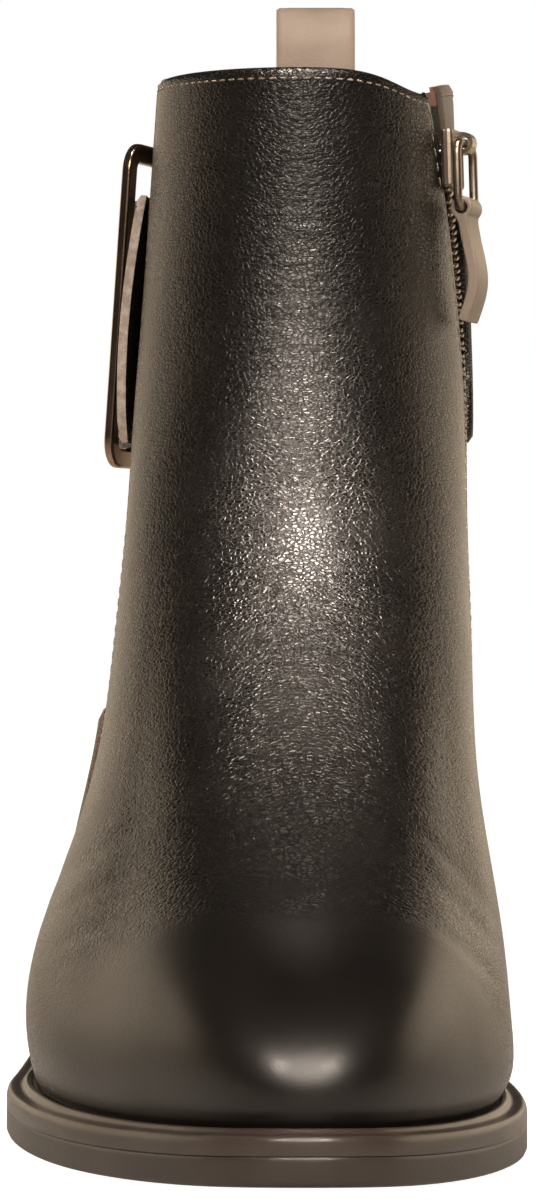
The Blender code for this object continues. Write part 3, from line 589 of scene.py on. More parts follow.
# Zip teeth: stamped bronze teeth clamped on both edges of the tape, alternately from each side.
# They follow the middle of the slot from its foot up to the slider.
TOOTH_PITCH = 1.3
TOOTH_WIDTH = 2.9
TOOTH_LENGTH = 0.78
TOOTH_DEPTH = 1.1
TOOTH_STEP = 0.62
CHAIN_MIDDLE = -0.6
CHAIN_TOP = 0.955


def bronze_metal(name, light, dark, rough):
    """Plated bronze with a drawn, slightly rubbed face."""
    material, tree, shader, place = new_finish(name)
    scratches = noise(tree, stretched(tree, place, (900.0, 900.0, 5200.0)), 1.0, 3.0)
    face = {
        "Base Color": blotches(tree, place, 7.0, (dark, light)),
        "Roughness": spread_between(tree, scratches, rough - 0.07, rough + 0.1),
        "Normal": relief(tree, scratches, 0.15, 0.02),
        "Metallic": 1.0,
    }
    put(tree, shader, face)
    return material


def path_object(name, line, out, side=None):
    """A line of edges in millimetres that carries the direction out of the leather under it."""
    mesh = bpy.data.meshes.new(name)
    ends = [(i, i + 1) for i in range(len(line) - 1)]
    mesh.from_pydata((np.asarray(line) * MM).tolist(), ends, [])
    for label, vectors in (("out", out), ("side", out if side is None else side)):
        attribute = mesh.attributes.new(label, "FLOAT_VECTOR", "POINT")
        attribute.data.foreach_set("vector", np.asarray(vectors, np.float32).reshape(-1))
    return linked(name, mesh)


def row_tree(name, shape_of):
    """A tree that sets one shape along a line at a pitch, turned to the line and out of the leather."""
    tree = bpy.data.node_groups.new(name, "GeometryNodeTree")
    tree.interface.new_socket("Line", in_out="INPUT", socket_type="NodeSocketGeometry")
    for label in ("Pitch", "Long", "Wide", "Deep", "Step"):
        tree.interface.new_socket(label, in_out="INPUT", socket_type="NodeSocketFloat")
    tree.interface.new_socket("Finish", in_out="INPUT", socket_type="NodeSocketMaterial")
    tree.interface.new_socket("Row", in_out="OUTPUT", socket_type="NodeSocketGeometry")
    given = tree.nodes.new("NodeGroupInput").outputs
    curve = node(tree, "GeometryNodeMeshToCurve", {"Mesh": given["Line"]}).outputs["Curve"]
    spacing = {"Curve": curve, "Length": given["Pitch"]}
    spaced = node(tree, "GeometryNodeResampleCurve", spacing, mode="LENGTH").outputs["Curve"]
    vectors = {}
    for label in ("out", "side"):
        carried = node(tree, "GeometryNodeInputNamedAttribute", {"Name": label}, data_type="FLOAT_VECTOR")
        vectors[label] = carried.outputs[0]
    parity = reckoned(tree, "MODULO", node(tree, "GeometryNodeInputIndex").outputs[0], 2.0)
    swing = reckoned(tree, "MULTIPLY_ADD", parity, 2.0, -1.0)
    swing = {0: vectors["side"], "Scale": reckoned(tree, "MULTIPLY", swing, given["Step"])}
    shift = node(tree, "ShaderNodeVectorMath", swing, operation="SCALE").outputs[0]
    tangent = node(tree, "GeometryNodeInputTangent").outputs[0]
    axes = {"Primary Axis": tangent, "Secondary Axis": vectors["out"]}
    turned = node(tree, "FunctionNodeAxesToRotation", axes, primary_axis="X", secondary_axis="Z").outputs[0]
    held = node(tree, "GeometryNodeCaptureAttribute", {"Geometry": spaced})
    held.capture_items.new("ROTATION", "Turned")
    tree.links.new(turned, held.inputs["Turned"])
    placed = node(tree, "GeometryNodeSetPosition", {"Geometry": held.outputs["Geometry"], "Offset": shift})
    size = node(tree, "ShaderNodeCombineXYZ", {"X": given["Long"], "Y": given["Wide"], "Z": given["Deep"]})
    copies = {
        "Points": placed.outputs["Geometry"],
        "Instance": shape_of(tree),
        "Rotation": held.outputs["Turned"],
        "Scale": size.outputs[0],
    }
    row = node(tree, "GeometryNodeInstanceOnPoints", copies).outputs["Instances"]
    row = node(tree, "GeometryNodeRealizeInstances", {"Geometry": row}).outputs["Geometry"]
    row = node(tree, "GeometryNodeSetShadeSmooth", {"Geometry": row}).outputs["Geometry"]
    finished = node(tree, "GeometryNodeSetMaterial", {"Geometry": row, "Material": given["Finish"]})
    result = tree.nodes.new("NodeGroupOutput")
    tree.links.new(finished.outputs["Geometry"], result.inputs["Row"])
    return tree


def set_row(line_item, tree, name, finish, **sizes):
    """Runs a row's tree on its line and returns the plain mesh object, without the line."""
    modifier = line_item.modifiers.new("row", "NODES")
    modifier.node_group = tree
    for socket in tree.interface.items_tree:
        if socket.in_out == "INPUT" and socket.name in sizes:
            modifier[socket.identifier] = sizes[socket.name] * MM
        if socket.in_out == "INPUT" and socket.name == "Finish":
            modifier[socket.identifier] = finish
    graph = bpy.context.evaluated_depsgraph_get()
    mesh = bpy.data.meshes.new_from_object(line_item.evaluated_get(graph))
    mesh.name = name
    bpy.data.objects.remove(line_item, do_unlink=True)
    return linked(name, mesh)


def tooth_shape(tree):
    """A stamped tooth: a short block with its head a little rounded."""
    block = node(tree, "GeometryNodeMeshCylinder", {"Vertices": 8, "Radius": 0.54, "Depth": 1.0})
    return block.outputs["Mesh"]


chain_up = np.linspace(ZIP_BOTTOM + 0.01, CHAIN_TOP, 120)
chain_turn = np.mean(zip_edges(chain_up), axis=0)
chain_up = chain_up * collar(chain_turn)
chain_side, _, chain_out = form_frame(chain_turn, chain_up)
chain_line = skin(chain_turn, chain_up, np.full(chain_turn.shape, CHAIN_MIDDLE))
tooth_bronze = bronze_metal("zip_bronze", (0.62, 0.54, 0.44), (0.46, 0.385, 0.30), 0.3)
zip_teeth = set_row(
    path_object("zip_teeth_line", chain_line, chain_out, chain_side),
    row_tree("zip_teeth_row", tooth_shape),
    "zip_teeth",
    tooth_bronze,
    Pitch=TOOTH_PITCH,
    Long=TOOTH_LENGTH,
    Wide=TOOTH_WIDTH,
    Deep=TOOTH_DEPTH,
    Step=TOOTH_STEP,
)
fit(zip_teeth, "boot", "bronze_metal", "zip_chain")

# Zip slider and its ring: cast bronze, the ring of round wire hung in the slider's bail.
# The slider keeps its solid's own shape.
HINGE_Z = 184.5
HINGE_LIFT = 4.0
RING_WIDTH = 10.6
RING_HEIGHT = 13.0
RING_CORNER = 2.6
RING_WIRE = 0.9


def up_at(turn, z):
    """Where a height is reached on the last."""
    turn, z = np.broadcast_arrays(np.asarray(turn, float), np.asarray(z, float))
    low = np.zeros(z.shape)
    high = np.ones(z.shape)
    for _ in range(40):
        middle = (low + high) / 2
        below = form(turn, middle)[..., 2] < z
        low = np.where(below, middle, low)
        high = np.where(below, high, middle)
    return (low + high) / 2


def hinge_frame():
    """The pull's hinge over the zip, with its axis round the shaft, up along the zip and out."""
    turn = 2 * np.pi - ZIP_LINE[-1]
    for _ in range(6):
        up = up_at(turn, HINGE_Z)
        turn = float(np.mean(zip_edges(up)))
    around, _, out = (Vector(v) for v in form_frame(turn, up))
    axis = Vector((around.x, around.y, 0)).normalized()
    out = (out - axis * out.dot(axis)).normalized()
    rising = out.cross(axis).normalized()
    if rising.z < 0:
        rising.negate()
    return Vector(form(turn, up)) + out * HINGE_LIFT, axis, rising, out


def rounded_rectangle(width, height, radius, steps):
    """Points of a rectangle with round corners about the origin, anticlockwise."""
    points = []
    for k, (sx, sy) in enumerate(((1, 1), (-1, 1), (-1, -1), (1, -1))):
        centre = (sx * (width / 2 - radius), sy * (height / 2 - radius))
        for i in range(steps + 1):
            angle = math.pi / 2 * (k + i / steps)
            points.append((centre[0] + radius * math.cos(angle), centre[1] + radius * math.sin(angle)))
    return points


def tube(loops):
    """Points and faces of a solid ring, from section loops that follow each other round."""
    count, sides = loops.shape[:2]
    number = np.arange(count * sides).reshape(count, sides)
    ahead = np.roll(number, -1, axis=0)
    faces = np.stack([number, np.roll(number, -1, axis=1), np.roll(ahead, -1, axis=1), ahead], axis=-1)
    return loops.reshape(-1, 3), faces.reshape(-1, 4)


def face_outwards(item):
    shape = bmesh.new()
    shape.from_mesh(item.data)
    bmesh.ops.recalc_face_normals(shape, faces=shape.faces)
    shape.to_mesh(item.data)
    shape.free()


ring_path = np.array(rounded_rectangle(RING_WIDTH, RING_HEIGHT, RING_CORNER, 10))
ring_path[:, 1] -= RING_HEIGHT / 2
ring_ahead = np.roll(ring_path, -1, axis=0) - np.roll(ring_path, 1, axis=0)
ring_ahead = ring_ahead / np.linalg.norm(ring_ahead, axis=-1, keepdims=True)
ring_side = np.stack([ring_ahead[:, 1], -ring_ahead[:, 0]], axis=-1)
hinge, hinge_axis, hinge_up, hinge_out = (np.array(v) for v in hinge_frame())
wire_angle = np.linspace(0, 2 * np.pi, 20, endpoint=False)
ring_flat = ring_path[:, None] + np.cos(wire_angle)[None, :, None] * ring_side[:, None] * RING_WIRE
ring_deep = np.sin(wire_angle)[None, :, None] * RING_WIRE * hinge_out
ring_loops = hinge + ring_flat[..., :1] * hinge_axis + ring_flat[..., 1:] * hinge_up + ring_deep
ring_bronze = bronze_metal("pale_bronze", (0.46, 0.39, 0.31), (0.34, 0.285, 0.225), 0.34)
pull_ring = make_piece("pull_ring_wire", *tube(ring_loops), ring_bronze)
face_outwards(pull_ring)
fit(pull_ring, "zip_pull", "bronze_metal", "pull_ring")
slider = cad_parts["zip_slider"]
slider.data.materials.clear()
slider.data.materials.append(ring_bronze)

# Zip pull tab: a strip of the taupe leather folded round the ring and stitched to itself.
# It hangs a little away from the shaft and curls in at its end.
TAB_WIDTH = 7.2
TAB_THICKNESS = 2.2
TAB_EYE = 2.3
TAB_LINE = (
    (0.0, -13.0),
    (0.8, -19.0),
    (1.9, -25.0),
    (1.6, -30.0),
    (-0.4, -35.5),
)


def extruded(name, outlines, depth, matrix, finish):
    """A flat plate from an outline and its holes in XZ, thick along Y from 0, put in its place."""
    shape = bmesh.new()
    for outline in outlines:
        corners = [shape.verts.new((x * MM, 0, z * MM)) for x, z in outline]
        for p, q in zip(corners, corners[1:] + corners[:1]):
            shape.edges.new((p, q))
    bmesh.ops.triangle_fill(shape, use_beauty=True, edges=shape.edges[:])
    made = bmesh.ops.extrude_face_region(shape, geom=shape.faces[:])
    moved = [item for item in made["geom"] if isinstance(item, bmesh.types.BMVert)]
    bmesh.ops.translate(shape, verts=moved, vec=(0, depth * MM, 0))
    shape.transform(matrix)
    shape.normal_update()
    bmesh.ops.recalc_face_normals(shape, faces=shape.faces)
    mesh = bpy.data.meshes.new(name)
    shape.to_mesh(mesh)
    shape.free()
    mesh.materials.append(finish)
    return linked(name, mesh)


def rounded_off(item, width, segments=3):
    """Rounds the edges of a plate and keeps the result as its plain mesh."""
    bevel = item.modifiers.new("edges", "BEVEL")
    bevel.width = width * MM
    bevel.segments = segments
    bevel.limit_method = "ANGLE"
    bevel.angle_limit = math.radians(40)
    bevel.harden_normals = True
    item.data.shade_smooth()
    graph = bpy.context.evaluated_depsgraph_get()
    mesh = bpy.data.meshes.new_from_object(item.evaluated_get(graph))
    item.modifiers.clear()
    item.data = mesh


tab_table = np.array(TAB_LINE)
tab_share = np.linspace(0, 1, 40)
tab_line = np.stack([natural_spline(tab_table[:, k])(tab_share) for k in (0, 1)], axis=-1)
tab_along = np.gradient(tab_line, axis=0)
tab_along = tab_along / np.linalg.norm(tab_along, axis=-1, keepdims=True)
tab_normal = np.stack([-tab_along[:, 1], tab_along[:, 0]], axis=-1)
tab_eye = tab_table[0]
tab_below = np.nonzero(np.linalg.norm(tab_line - tab_eye, axis=-1) > TAB_EYE + 0.6)[0]
tab_right = tab_line[tab_below] + tab_normal[tab_below] * TAB_THICKNESS / 2
tab_left = tab_line[tab_below] - tab_normal[tab_below] * TAB_THICKNESS / 2
tab_crown = np.linspace(-0.9, math.pi + 0.9, 25)
tab_crown = tab_eye + TAB_EYE * np.stack([np.cos(tab_crown), np.sin(tab_crown)], axis=-1)
tab_outline = [*tab_crown, *tab_left, *tab_right[::-1]]
tab_hole = np.linspace(0, 2 * math.pi, 24, endpoint=False)
tab_hole = tab_eye + (RING_WIRE + FIT) * np.stack([np.cos(tab_hole), np.sin(tab_hole)], axis=-1)
hinge_turn = Matrix((hinge_axis, hinge_out, hinge_up)).transposed().to_4x4()
tab_stand = Matrix(((0, 1, 0), (1, 0, 0), (0, 0, 1))).to_4x4()
tab_place = Matrix.Translation(Vector(hinge) * MM) @ hinge_turn
tab_place = tab_place @ Matrix.Translation(Vector((-TAB_WIDTH / 2, 0, 0)) * MM) @ tab_stand
tab_leather = taupe_leather("taupe_tab_leather", (0.33, 0.27, 0.215), (0.27, 0.22, 0.175), 0.42, 0.42)
pull_tab = extruded("pull_tab_leather", [tab_outline, tab_hole], TAB_WIDTH, tab_place, tab_leather)
rounded_off(pull_tab, 0.45)
fit(pull_tab, "zip_pull", "taupe_leather", "pull_tab")

# Heel counter: a stiff overlay of taupe leather round the back of the heel, skived along its top
# and sewn on with one row of stitches.
COUNTER_TURN_MEDIAL = 0.96
COUNTER_SEAM_MARGIN = 0.05
COUNTER_BOTTOM_UP = 0.035
COUNTER_SIDE_TOP = 73.0
COUNTER_BACK_TOP = 96.0
COUNTER_THICKNESS = 2.0
COUNTER_LOW = FIT - LAP
COUNTER_STITCH = 2.4

counter_spread = np.linspace(-1, 1, 150)
counter_top = COUNTER_BACK_TOP + (COUNTER_SIDE_TOP - COUNTER_BACK_TOP) * ease(np.abs(counter_spread))
counter_turns = counter_spread * np.where(counter_spread > 0, seam_turn(0.25), COUNTER_TURN_MEDIAL)
counter_turn, counter_up = [], []
for share in np.linspace(0, 1, 44):
    ups = COUNTER_BOTTOM_UP + (up_at(counter_turns, counter_top) - COUNTER_BOTTOM_UP) * share
    counter_end = seam_turn(ups[-1]) - COUNTER_SEAM_MARGIN
    counter_turns = counter_spread * np.where(counter_spread > 0, counter_end, COUNTER_TURN_MEDIAL)
    counter_turn.append(counter_turns)
    counter_up.append(ups)
counter_turn, counter_up = np.array(counter_turn), np.array(counter_up)
counter_base = form(counter_turn, counter_up)
counter_across = run(counter_base, 1)
counter_beside = np.minimum(counter_across, counter_across[:, -1:] - counter_across)
counter_rise = run(counter_base, 0)
counter_to_top = counter_rise[-1:] - counter_rise
counter_edge = np.minimum(counter_to_top, counter_beside)
counter_lift = COUNTER_LOW + COUNTER_THICKNESS + turned_edge(counter_edge, 1.1, 0.9)
counter_lift += sewn_groove(counter_edge, COUNTER_STITCH)
counter_leather = taupe_leather("taupe_counter_leather", (0.135, 0.100, 0.076), (0.10, 0.074, 0.056), 0.44)
heel_counter = sheet(
    "heel_counter_leather", counter_turn, counter_up, counter_lift, COUNTER_LOW, counter_leather
)
fit(heel_counter, "boot", "taupe_leather", "heel_counter")

# Strap slide: a flat cast bronze frame with a middle bar, on the outer side of the shaft.
# Its corners are round and its edges polished.
SLIDE_TURN = 1.16
SLIDE_LIFT = 1.1
SLIDE_LEAN = math.radians(3.1)
SLIDE_Z = 153.6
SLIDE_WIDTH = 36.0
SLIDE_HEIGHT = 66.5
SLIDE_BAR = 4.0
SLIDE_MIDDLE_BAR = 3.0
SLIDE_THICKNESS = 2.0
SLIDE_CORNER = 6.0


def slide_frame():
    """Middle of the slide's back, with its directions forwards, up and out."""
    up = up_at(SLIDE_TURN, SLIDE_Z)
    out = Vector(form_frame(SLIDE_TURN, up)[2])
    forwards = Vector((0, 0, 1)).cross(out).normalized()
    out = Matrix.Rotation(-SLIDE_LEAN, 3, forwards) @ out
    rising = out.cross(forwards)
    return Vector(form(SLIDE_TURN, up)) + out * SLIDE_LIFT, forwards, rising, out


slide_middle, slide_forwards, slide_rising, slide_out = slide_frame()
slide_window = (SLIDE_WIDTH - 2 * SLIDE_BAR - SLIDE_MIDDLE_BAR) / 2
slide_outlines = [rounded_rectangle(SLIDE_WIDTH, SLIDE_HEIGHT, SLIDE_CORNER, 12)]
for side in (-1, 1):
    shift = side * (SLIDE_MIDDLE_BAR + slide_window) / 2
    window = rounded_rectangle(slide_window, SLIDE_HEIGHT - 2 * SLIDE_BAR, 1.5, 5)
    slide_outlines.append([(x + shift, z) for x, z in window])
slide_turned = Matrix((slide_forwards, slide_out, slide_rising)).transposed().to_4x4()
slide_place = Matrix.Translation(slide_middle * MM) @ slide_turned
slide_bronze = bronze_metal("slide_bronze", (0.44, 0.335, 0.25), (0.32, 0.235, 0.17), 0.22)
strap_slide = extruded("strap_slide_cast", slide_outlines, SLIDE_THICKNESS, slide_place, slide_bronze)
rounded_off(strap_slide, 0.6, 4)
fit(strap_slide, "boot", "bronze_metal", "strap_slide")

# Back strap: a wide strap of the black leather from the zip round the back to the slide.
# It goes over the slide's middle bar; its end there is cut raw and shows the pale inside of the hide.
STRAP_BOTTOM = 125.5
STRAP_TOP = 175.5
STRAP_THICKNESS = 1.8
STRAP_END_RADIUS = 6.0
STRAP_LOOSE = 0.9
STRAP_CREST = 8.0
STRAP_DROP = 4.6
STRAP_CLIMB = 8.0
STRAP_STITCH = 2.4


def slide_reach(turns, z):
    """Distance in front of the slide's middle, and depth of the last's face behind the slide's back."""
    middle, forwards, out = (np.array(v) for v in (slide_middle, slide_forwards, slide_out))
    away = form(turns, up_at(turns, z)) - middle
    return np.where(np.asarray(turns) > 0, away @ forwards, -100.0), -(away @ out)


def slide_turn(reach, z):
    """Where the last's face is at a distance in front of the slide's middle."""
    turns = np.linspace(0.4, 2.2, 120)
    return float(np.interp(reach, slide_reach(turns, z)[0], turns))


def strap_lift(turns, z):
    """Height of the strap's back over the last's face, as it weaves through the slide's bars."""
    reach, depth = slide_reach(turns, z)
    flat = FIT - LAP
    over = depth + SLIDE_THICKNESS + 2.5 * FIT
    under = depth - STRAP_THICKNESS - 2 * FIT
    share = (z - STRAP_BOTTOM) / (STRAP_TOP - STRAP_BOTTOM)
    bow = np.sin(np.pi * (0.2 + 0.7 * share))
    loose = STRAP_LOOSE * bow * ease((reach - STRAP_CREST) / STRAP_DROP)
    rise = ease((STRAP_CREST + STRAP_DROP - np.abs(reach)) / STRAP_CLIMB)
    return flat + (over - flat) * rise + (under - flat) * loose


def raw_leather():
    """The rough pale fibre of a fresh cut."""
    material, tree, shader, place = new_finish("raw_leather_edge")
    face = {
        "Base Color": blotches(tree, place, 1.6, ((0.34, 0.28, 0.235), (0.54, 0.465, 0.41))),
        "Roughness": 0.9,
        "Normal": relief(tree, noise(tree, place, 1500.0, 4.0), 0.9, 0.25),
    }
    put(tree, shader, face)
    return material


strap_z = np.linspace(STRAP_BOTTOM, STRAP_TOP, 40)
strap_turn = []
for z in strap_z:
    zip_up = up_at(2 * np.pi - ZIP_LINE[3], z)
    start = float(zip_edges(zip_up)[1]) - 2 * math.pi
    drop = max(0.0, STRAP_END_RADIUS - (z - STRAP_BOTTOM))
    round_off = STRAP_END_RADIUS - math.sqrt(STRAP_END_RADIUS**2 - drop**2)
    start = start + float(turn_of(1.0 + round_off, start, zip_up))
    behind = slide_turn(-SLIDE_WIDTH / 2 - 3, z)
    finish = slide_turn(SLIDE_WIDTH / 2 + 1.5, z)
    plain = np.linspace(start, behind, 110, endpoint=False)
    strap_turn.append(np.concatenate([plain, np.linspace(behind, finish, 90)]))
strap_turn = np.array(strap_turn)
strap_level = np.broadcast_to(strap_z[:, None], strap_turn.shape)
strap_low = strap_lift(strap_turn, strap_level)
strap_up = up_at(strap_turn, strap_level)
strap_edge = np.minimum(strap_level - STRAP_BOTTOM, STRAP_TOP - strap_level)
strap_across = run(form(strap_turn, strap_up), 1)
strap_edge = np.minimum(strap_edge, strap_across)
strap_high = strap_low + STRAP_THICKNESS + turned_edge(strap_edge, 0.9, 0.7)
strap_high += sewn_groove(strap_edge, STRAP_STITCH)
strap_finishes = (panel_finish, raw_leather())
back_strap = sheet(
    "back_strap_leather", strap_turn, strap_up, strap_high, strap_low, *strap_finishes, corner=50
)
rows, columns = strap_turn.shape
cut_from = 2 * (rows - 1) * (columns - 1) + columns - 1
for polygon in back_strap.data.polygons[cut_from : cut_from + rows - 1]:
    polygon.material_index = 1
fit(back_strap, "boot", "black_leather", "back_strap")

# Pull loop: a folded strip of taupe leather over the back of the collar, sewn on inside and outside.
# Above the collar it stands up as an open loop.
LOOP_WIDTH = 16.8
LOOP_THICKNESS = 1.7
LOOP_INSIDE_BOTTOM = 184.0
LOOP_OUTSIDE_BOTTOM = 181.0
LOOP_SPRINGS = 198.5
LOOP_TOP = 220.8
LOOP_SPREAD = 3.4
LOOP_BEND_RADIUS = 19.5
LOOP_FLAT_ABOVE = 205.5
LOOP_STITCH = 1.6

loop_gap = 1.5 * FIT + LOOP_THICKNESS / 2
loop_inside_z = np.linspace(LOOP_INSIDE_BOTTOM, LOOP_SPRINGS, 12)
loop_outside_z = np.linspace(LOOP_SPRINGS, LOOP_OUTSIDE_BOTTOM, 14)
loop_inside = skin(0.0, up_at(0.0, loop_inside_z), np.full(12, -WALL - loop_gap))[:, 1:]
loop_outside = skin(0.0, up_at(0.0, loop_outside_z), np.full(14, -LAP + loop_gap))[:, 1:]
loop_start, loop_finish = loop_inside[-1], loop_outside[0]
loop_angle = np.linspace(0, math.pi, 44)[1:-1]
loop_half = (loop_finish[0] - loop_start[0]) / 2
loop_y = (loop_start[0] + loop_finish[0]) / 2
loop_y = loop_y - np.cos(loop_angle) * (loop_half + LOOP_SPREAD * np.sin(loop_angle) ** 0.7)
loop_rise = LOOP_TOP - LOOP_THICKNESS / 2 - loop_start[1]
loop_z = loop_start[1] + (loop_finish[1] - loop_start[1]) * loop_angle / math.pi
loop_z = loop_z + loop_rise * np.sin(loop_angle) ** 0.75
loop_line = np.concatenate([loop_inside, np.stack([loop_y, loop_z], axis=-1), loop_outside])
loop_along = np.gradient(loop_line, axis=0)
loop_along = loop_along / np.linalg.norm(loop_along, axis=-1, keepdims=True)
loop_normal = np.stack([-loop_along[:, 1], loop_along[:, 0]], axis=-1)
loop_across = np.linspace(-LOOP_WIDTH / 2, LOOP_WIDTH / 2, 25)
loop_edge = LOOP_WIDTH / 2 - np.abs(loop_across)
loop_flat = ease((loop_line[:, 1] - LOOP_SPRINGS) / (LOOP_FLAT_ABOVE - LOOP_SPRINGS))
loop_bow = loop_across**2 / (2 * LOOP_BEND_RADIUS) * (1 - loop_flat[:, None])
loop_faces = []
for side in (1, -1):
    half = LOOP_THICKNESS / 2 + turned_edge(loop_edge, 0.9, 0.5)
    half += sewn_groove(loop_edge, LOOP_STITCH, 0.1)
    edge = loop_line[:, None] + loop_normal[:, None] * (side * half)[None, :, None]
    grid = np.empty((len(loop_line), len(loop_across), 3))
    grid[..., 0] = BACK_X + loop_across
    grid[..., 1] = edge[..., 0] - loop_bow
    grid[..., 2] = edge[..., 1]
    loop_faces.append(grid)
loop_leather = taupe_leather("taupe_loop_leather", (0.60, 0.49, 0.41), (0.50, 0.405, 0.335), 0.42, 0.42)
pull_loop = make_piece("pull_loop_leather", *shell(*loop_faces), loop_leather)
face_outwards(pull_loop)
soft_edges(pull_loop, 50)
fit(pull_loop, "boot", "taupe_leather", "pull_loop")

# Stitching: waxed polyester thread in rows of lockstitch along the edges of the leather pieces.
# Collar, zip edge and heel counter are sewn in pale beige, the other rows in tones of their leather.
STITCH_PITCH = 3.0
FINE_PITCH = 2.2
STITCH_SHARE = 0.72
THREAD_WIDTH = 0.44
THREAD_DEPTH = 0.36
THREAD_LIFT = -0.02


def thread(name, light, dark):
    """Twisted thread: fine slanting ridges along each stitch."""
    material, tree, shader, place = new_finish(name)
    face = {
        "Base Color": blotches(tree, place, 2.0, (dark, light)),
        "Roughness": 0.6,
        "Normal": relief(tree, ribs(tree, place, 700.0, 1.0, "DIAGONAL"), 0.5, 0.06),
    }
    put(tree, shader, face)
    return material


def stitch_shape(tree):
    """One stitch: a short rounded length of thread."""
    ball = node(tree, "GeometryNodeMeshUVSphere", {"Segments": 8, "Rings": 5, "Radius": 0.5})
    return ball.outputs["Mesh"]


stitch_tree = row_tree("stitch_row", stitch_shape)


def sewn_row(name, line, out, finish, slot="black_leather", pitch=STITCH_PITCH):
    """A row of stitches along a line, put on the boot; the slot is passed on to fit, which does not use it.
    """
    sizes = {"Pitch": pitch, "Long": STITCH_SHARE * pitch, "Wide": THREAD_WIDTH, "Deep": THREAD_DEPTH}
    row = set_row(path_object(name + "_line", line, out), stitch_tree, name, finish, Step=0.0, **sizes)
    fit(row, "boot", slot)


def inset_line(points, distance, inset, axis):
    """Where each of a grid's lines has come a length from its start, as a place between its points."""
    lengths = np.moveaxis(distance, axis, -1)
    grid = np.moveaxis(points, axis, 1)
    found = []
    for lengths_there, points_there in zip(lengths, grid):
        found.append([np.interp(inset, lengths_there, points_there[:, k]) for k in range(3)])
    return np.array(found)


def row_on(grid_turn, grid_up, lift, distance, inset, axis):
    """A sewn line on a piece's face, a length in from one of its edges, and the directions out of it."""
    surface = skin(grid_turn, grid_up, lift)
    normals = form_frame(grid_turn, grid_up)[2]
    line = inset_line(surface, distance, inset, axis)
    out = inset_line(normals, distance, inset, axis)
    return line + out * THREAD_LIFT, out


beige_thread = thread("beige_thread", (0.42, 0.36, 0.29), (0.30, 0.25, 0.195))
brown_thread = thread("brown_thread", (0.23, 0.175, 0.13), (0.16, 0.12, 0.09))
black_thread = thread("black_thread", (0.022, 0.019, 0.016), (0.012, 0.010, 0.009))

panel_grid = (panel_turn, panel_up, panel_lift)
quarter_grid = (quarter_turn, quarter_up, quarter_lift)
counter_grid = (counter_turn, counter_up, counter_lift)
line, out = row_on(*(grid[::-1] for grid in (*panel_grid, panel_to_top)), COLLAR_STITCH, 0)
sewn_row("collar_stitches", line[2:-3], out[2:-3], beige_thread, pitch=FINE_PITCH)
line, out = row_on(*(grid[:, ::-1] for grid in (*panel_grid, panel_to_zip)), EDGE_STITCH, 1)
sewn_row("zip_edge_stitches", line[4:-3], out[4:-3], beige_thread)
line, out = row_on(*panel_grid, panel_across, EDGE_STITCH, 1)
sewn_row("outer_seam_stitches", line[4:-3], out[4:-3], brown_thread)
line, out = row_on(*(grid[::-1] for grid in (*quarter_grid, quarter_to_top)), COLLAR_STITCH, 0)
sewn_row("quarter_collar_stitches", line[2:-6], out[2:-6], brown_thread, slot="taupe_leather")
line, out = row_on(*(grid[::-1] for grid in (*counter_grid, counter_to_top)), COUNTER_STITCH, 0)
sewn_row("counter_stitches", line[2:-2], out[2:-2], beige_thread, slot="taupe_leather")
strap_rise = strap_level - STRAP_BOTTOM
for label, inset in (("low", STRAP_STITCH), ("high", STRAP_TOP - STRAP_BOTTOM - STRAP_STITCH)):
    line, out = row_on(strap_turn, strap_up, strap_high, strap_rise, inset, 0)
    sewn_row(f"strap_{label}_stitches", line[3:-1], out[3:-1], black_thread)
for side, label in ((-1, "lateral"), (1, "medial")):
    loop_edge_x = side * (LOOP_WIDTH / 2 - LOOP_STITCH)
    column = int(np.argmin(np.abs(loop_across - loop_edge_x)))
    out = np.zeros((len(loop_line), 3))
    out[:, 1:] = -loop_normal
    line = loop_faces[1][2:-2, column]
    sewn_row(f"loop_{label}_stitches", line, out[2:-2], brown_thread, slot="taupe_leather")

# Insole: a soft footbed in the salmon leather over foam, glued on the sole inside the upper.
# Its top is slightly dished for heel and ball.
INSOLE_TOP = 2.2
INSOLE_GAP = 0.5
LEDGE_HEEL = 3.4
LEDGE_TOE = 5.4
LEDGE_GROWTH = 0.6
SOLE_COLUMNS = 400


def ledge(turn):
    """How far the sole stands out from the upper's foot."""
    return LEDGE_HEEL + (LEDGE_TOE - LEDGE_HEEL) * ease((1 - np.cos(turn)) / 2 / LEDGE_GROWTH)


def sole_edge(turn, inset):
    """Plan of the sole's edge, moved in from it."""
    turn = np.asarray(turn, float)
    step = 1e-3
    along = (form(turn + step, 0) - form(turn - step, 0))[..., :2]
    along = along / np.linalg.norm(along, axis=-1, keepdims=True)
    outward = np.stack([along[..., 1], -along[..., 0]], axis=-1)
    return form(turn, 0)[..., :2] + outward * (ledge(turn) - inset)[..., None]


def sole_loop(turn, inset, height, share=1.0):
    """A loop of the sole at a height, drawn in by a share towards its middle line."""
    edge = sole_edge(turn, inset)
    spine = (edge + sole_edge(2 * np.pi - turn, inset)) / 2
    plan = spine + (edge - spine) * share
    z = tread(plan[..., 1] - TOE_Y) + height
    return np.concatenate([plan, z[..., None]], axis=-1)


sole_turn = np.linspace(0, 2 * np.pi, SOLE_COLUMNS, endpoint=False)


def closed_skin(loops):
    """Points and faces of a skin through closed loops, from one pole to the other."""
    loops = np.array(loops)
    number = np.arange(loops.shape[0] * loops.shape[1]).reshape(loops.shape[:2])
    number = np.concatenate([number, number[:, :1]], axis=1)
    faces = np.stack([number[:-1, :-1], number[:-1, 1:], number[1:, 1:], number[1:, :-1]], axis=-1)
    return loops.reshape(-1, 3), faces.reshape(-1, 4)


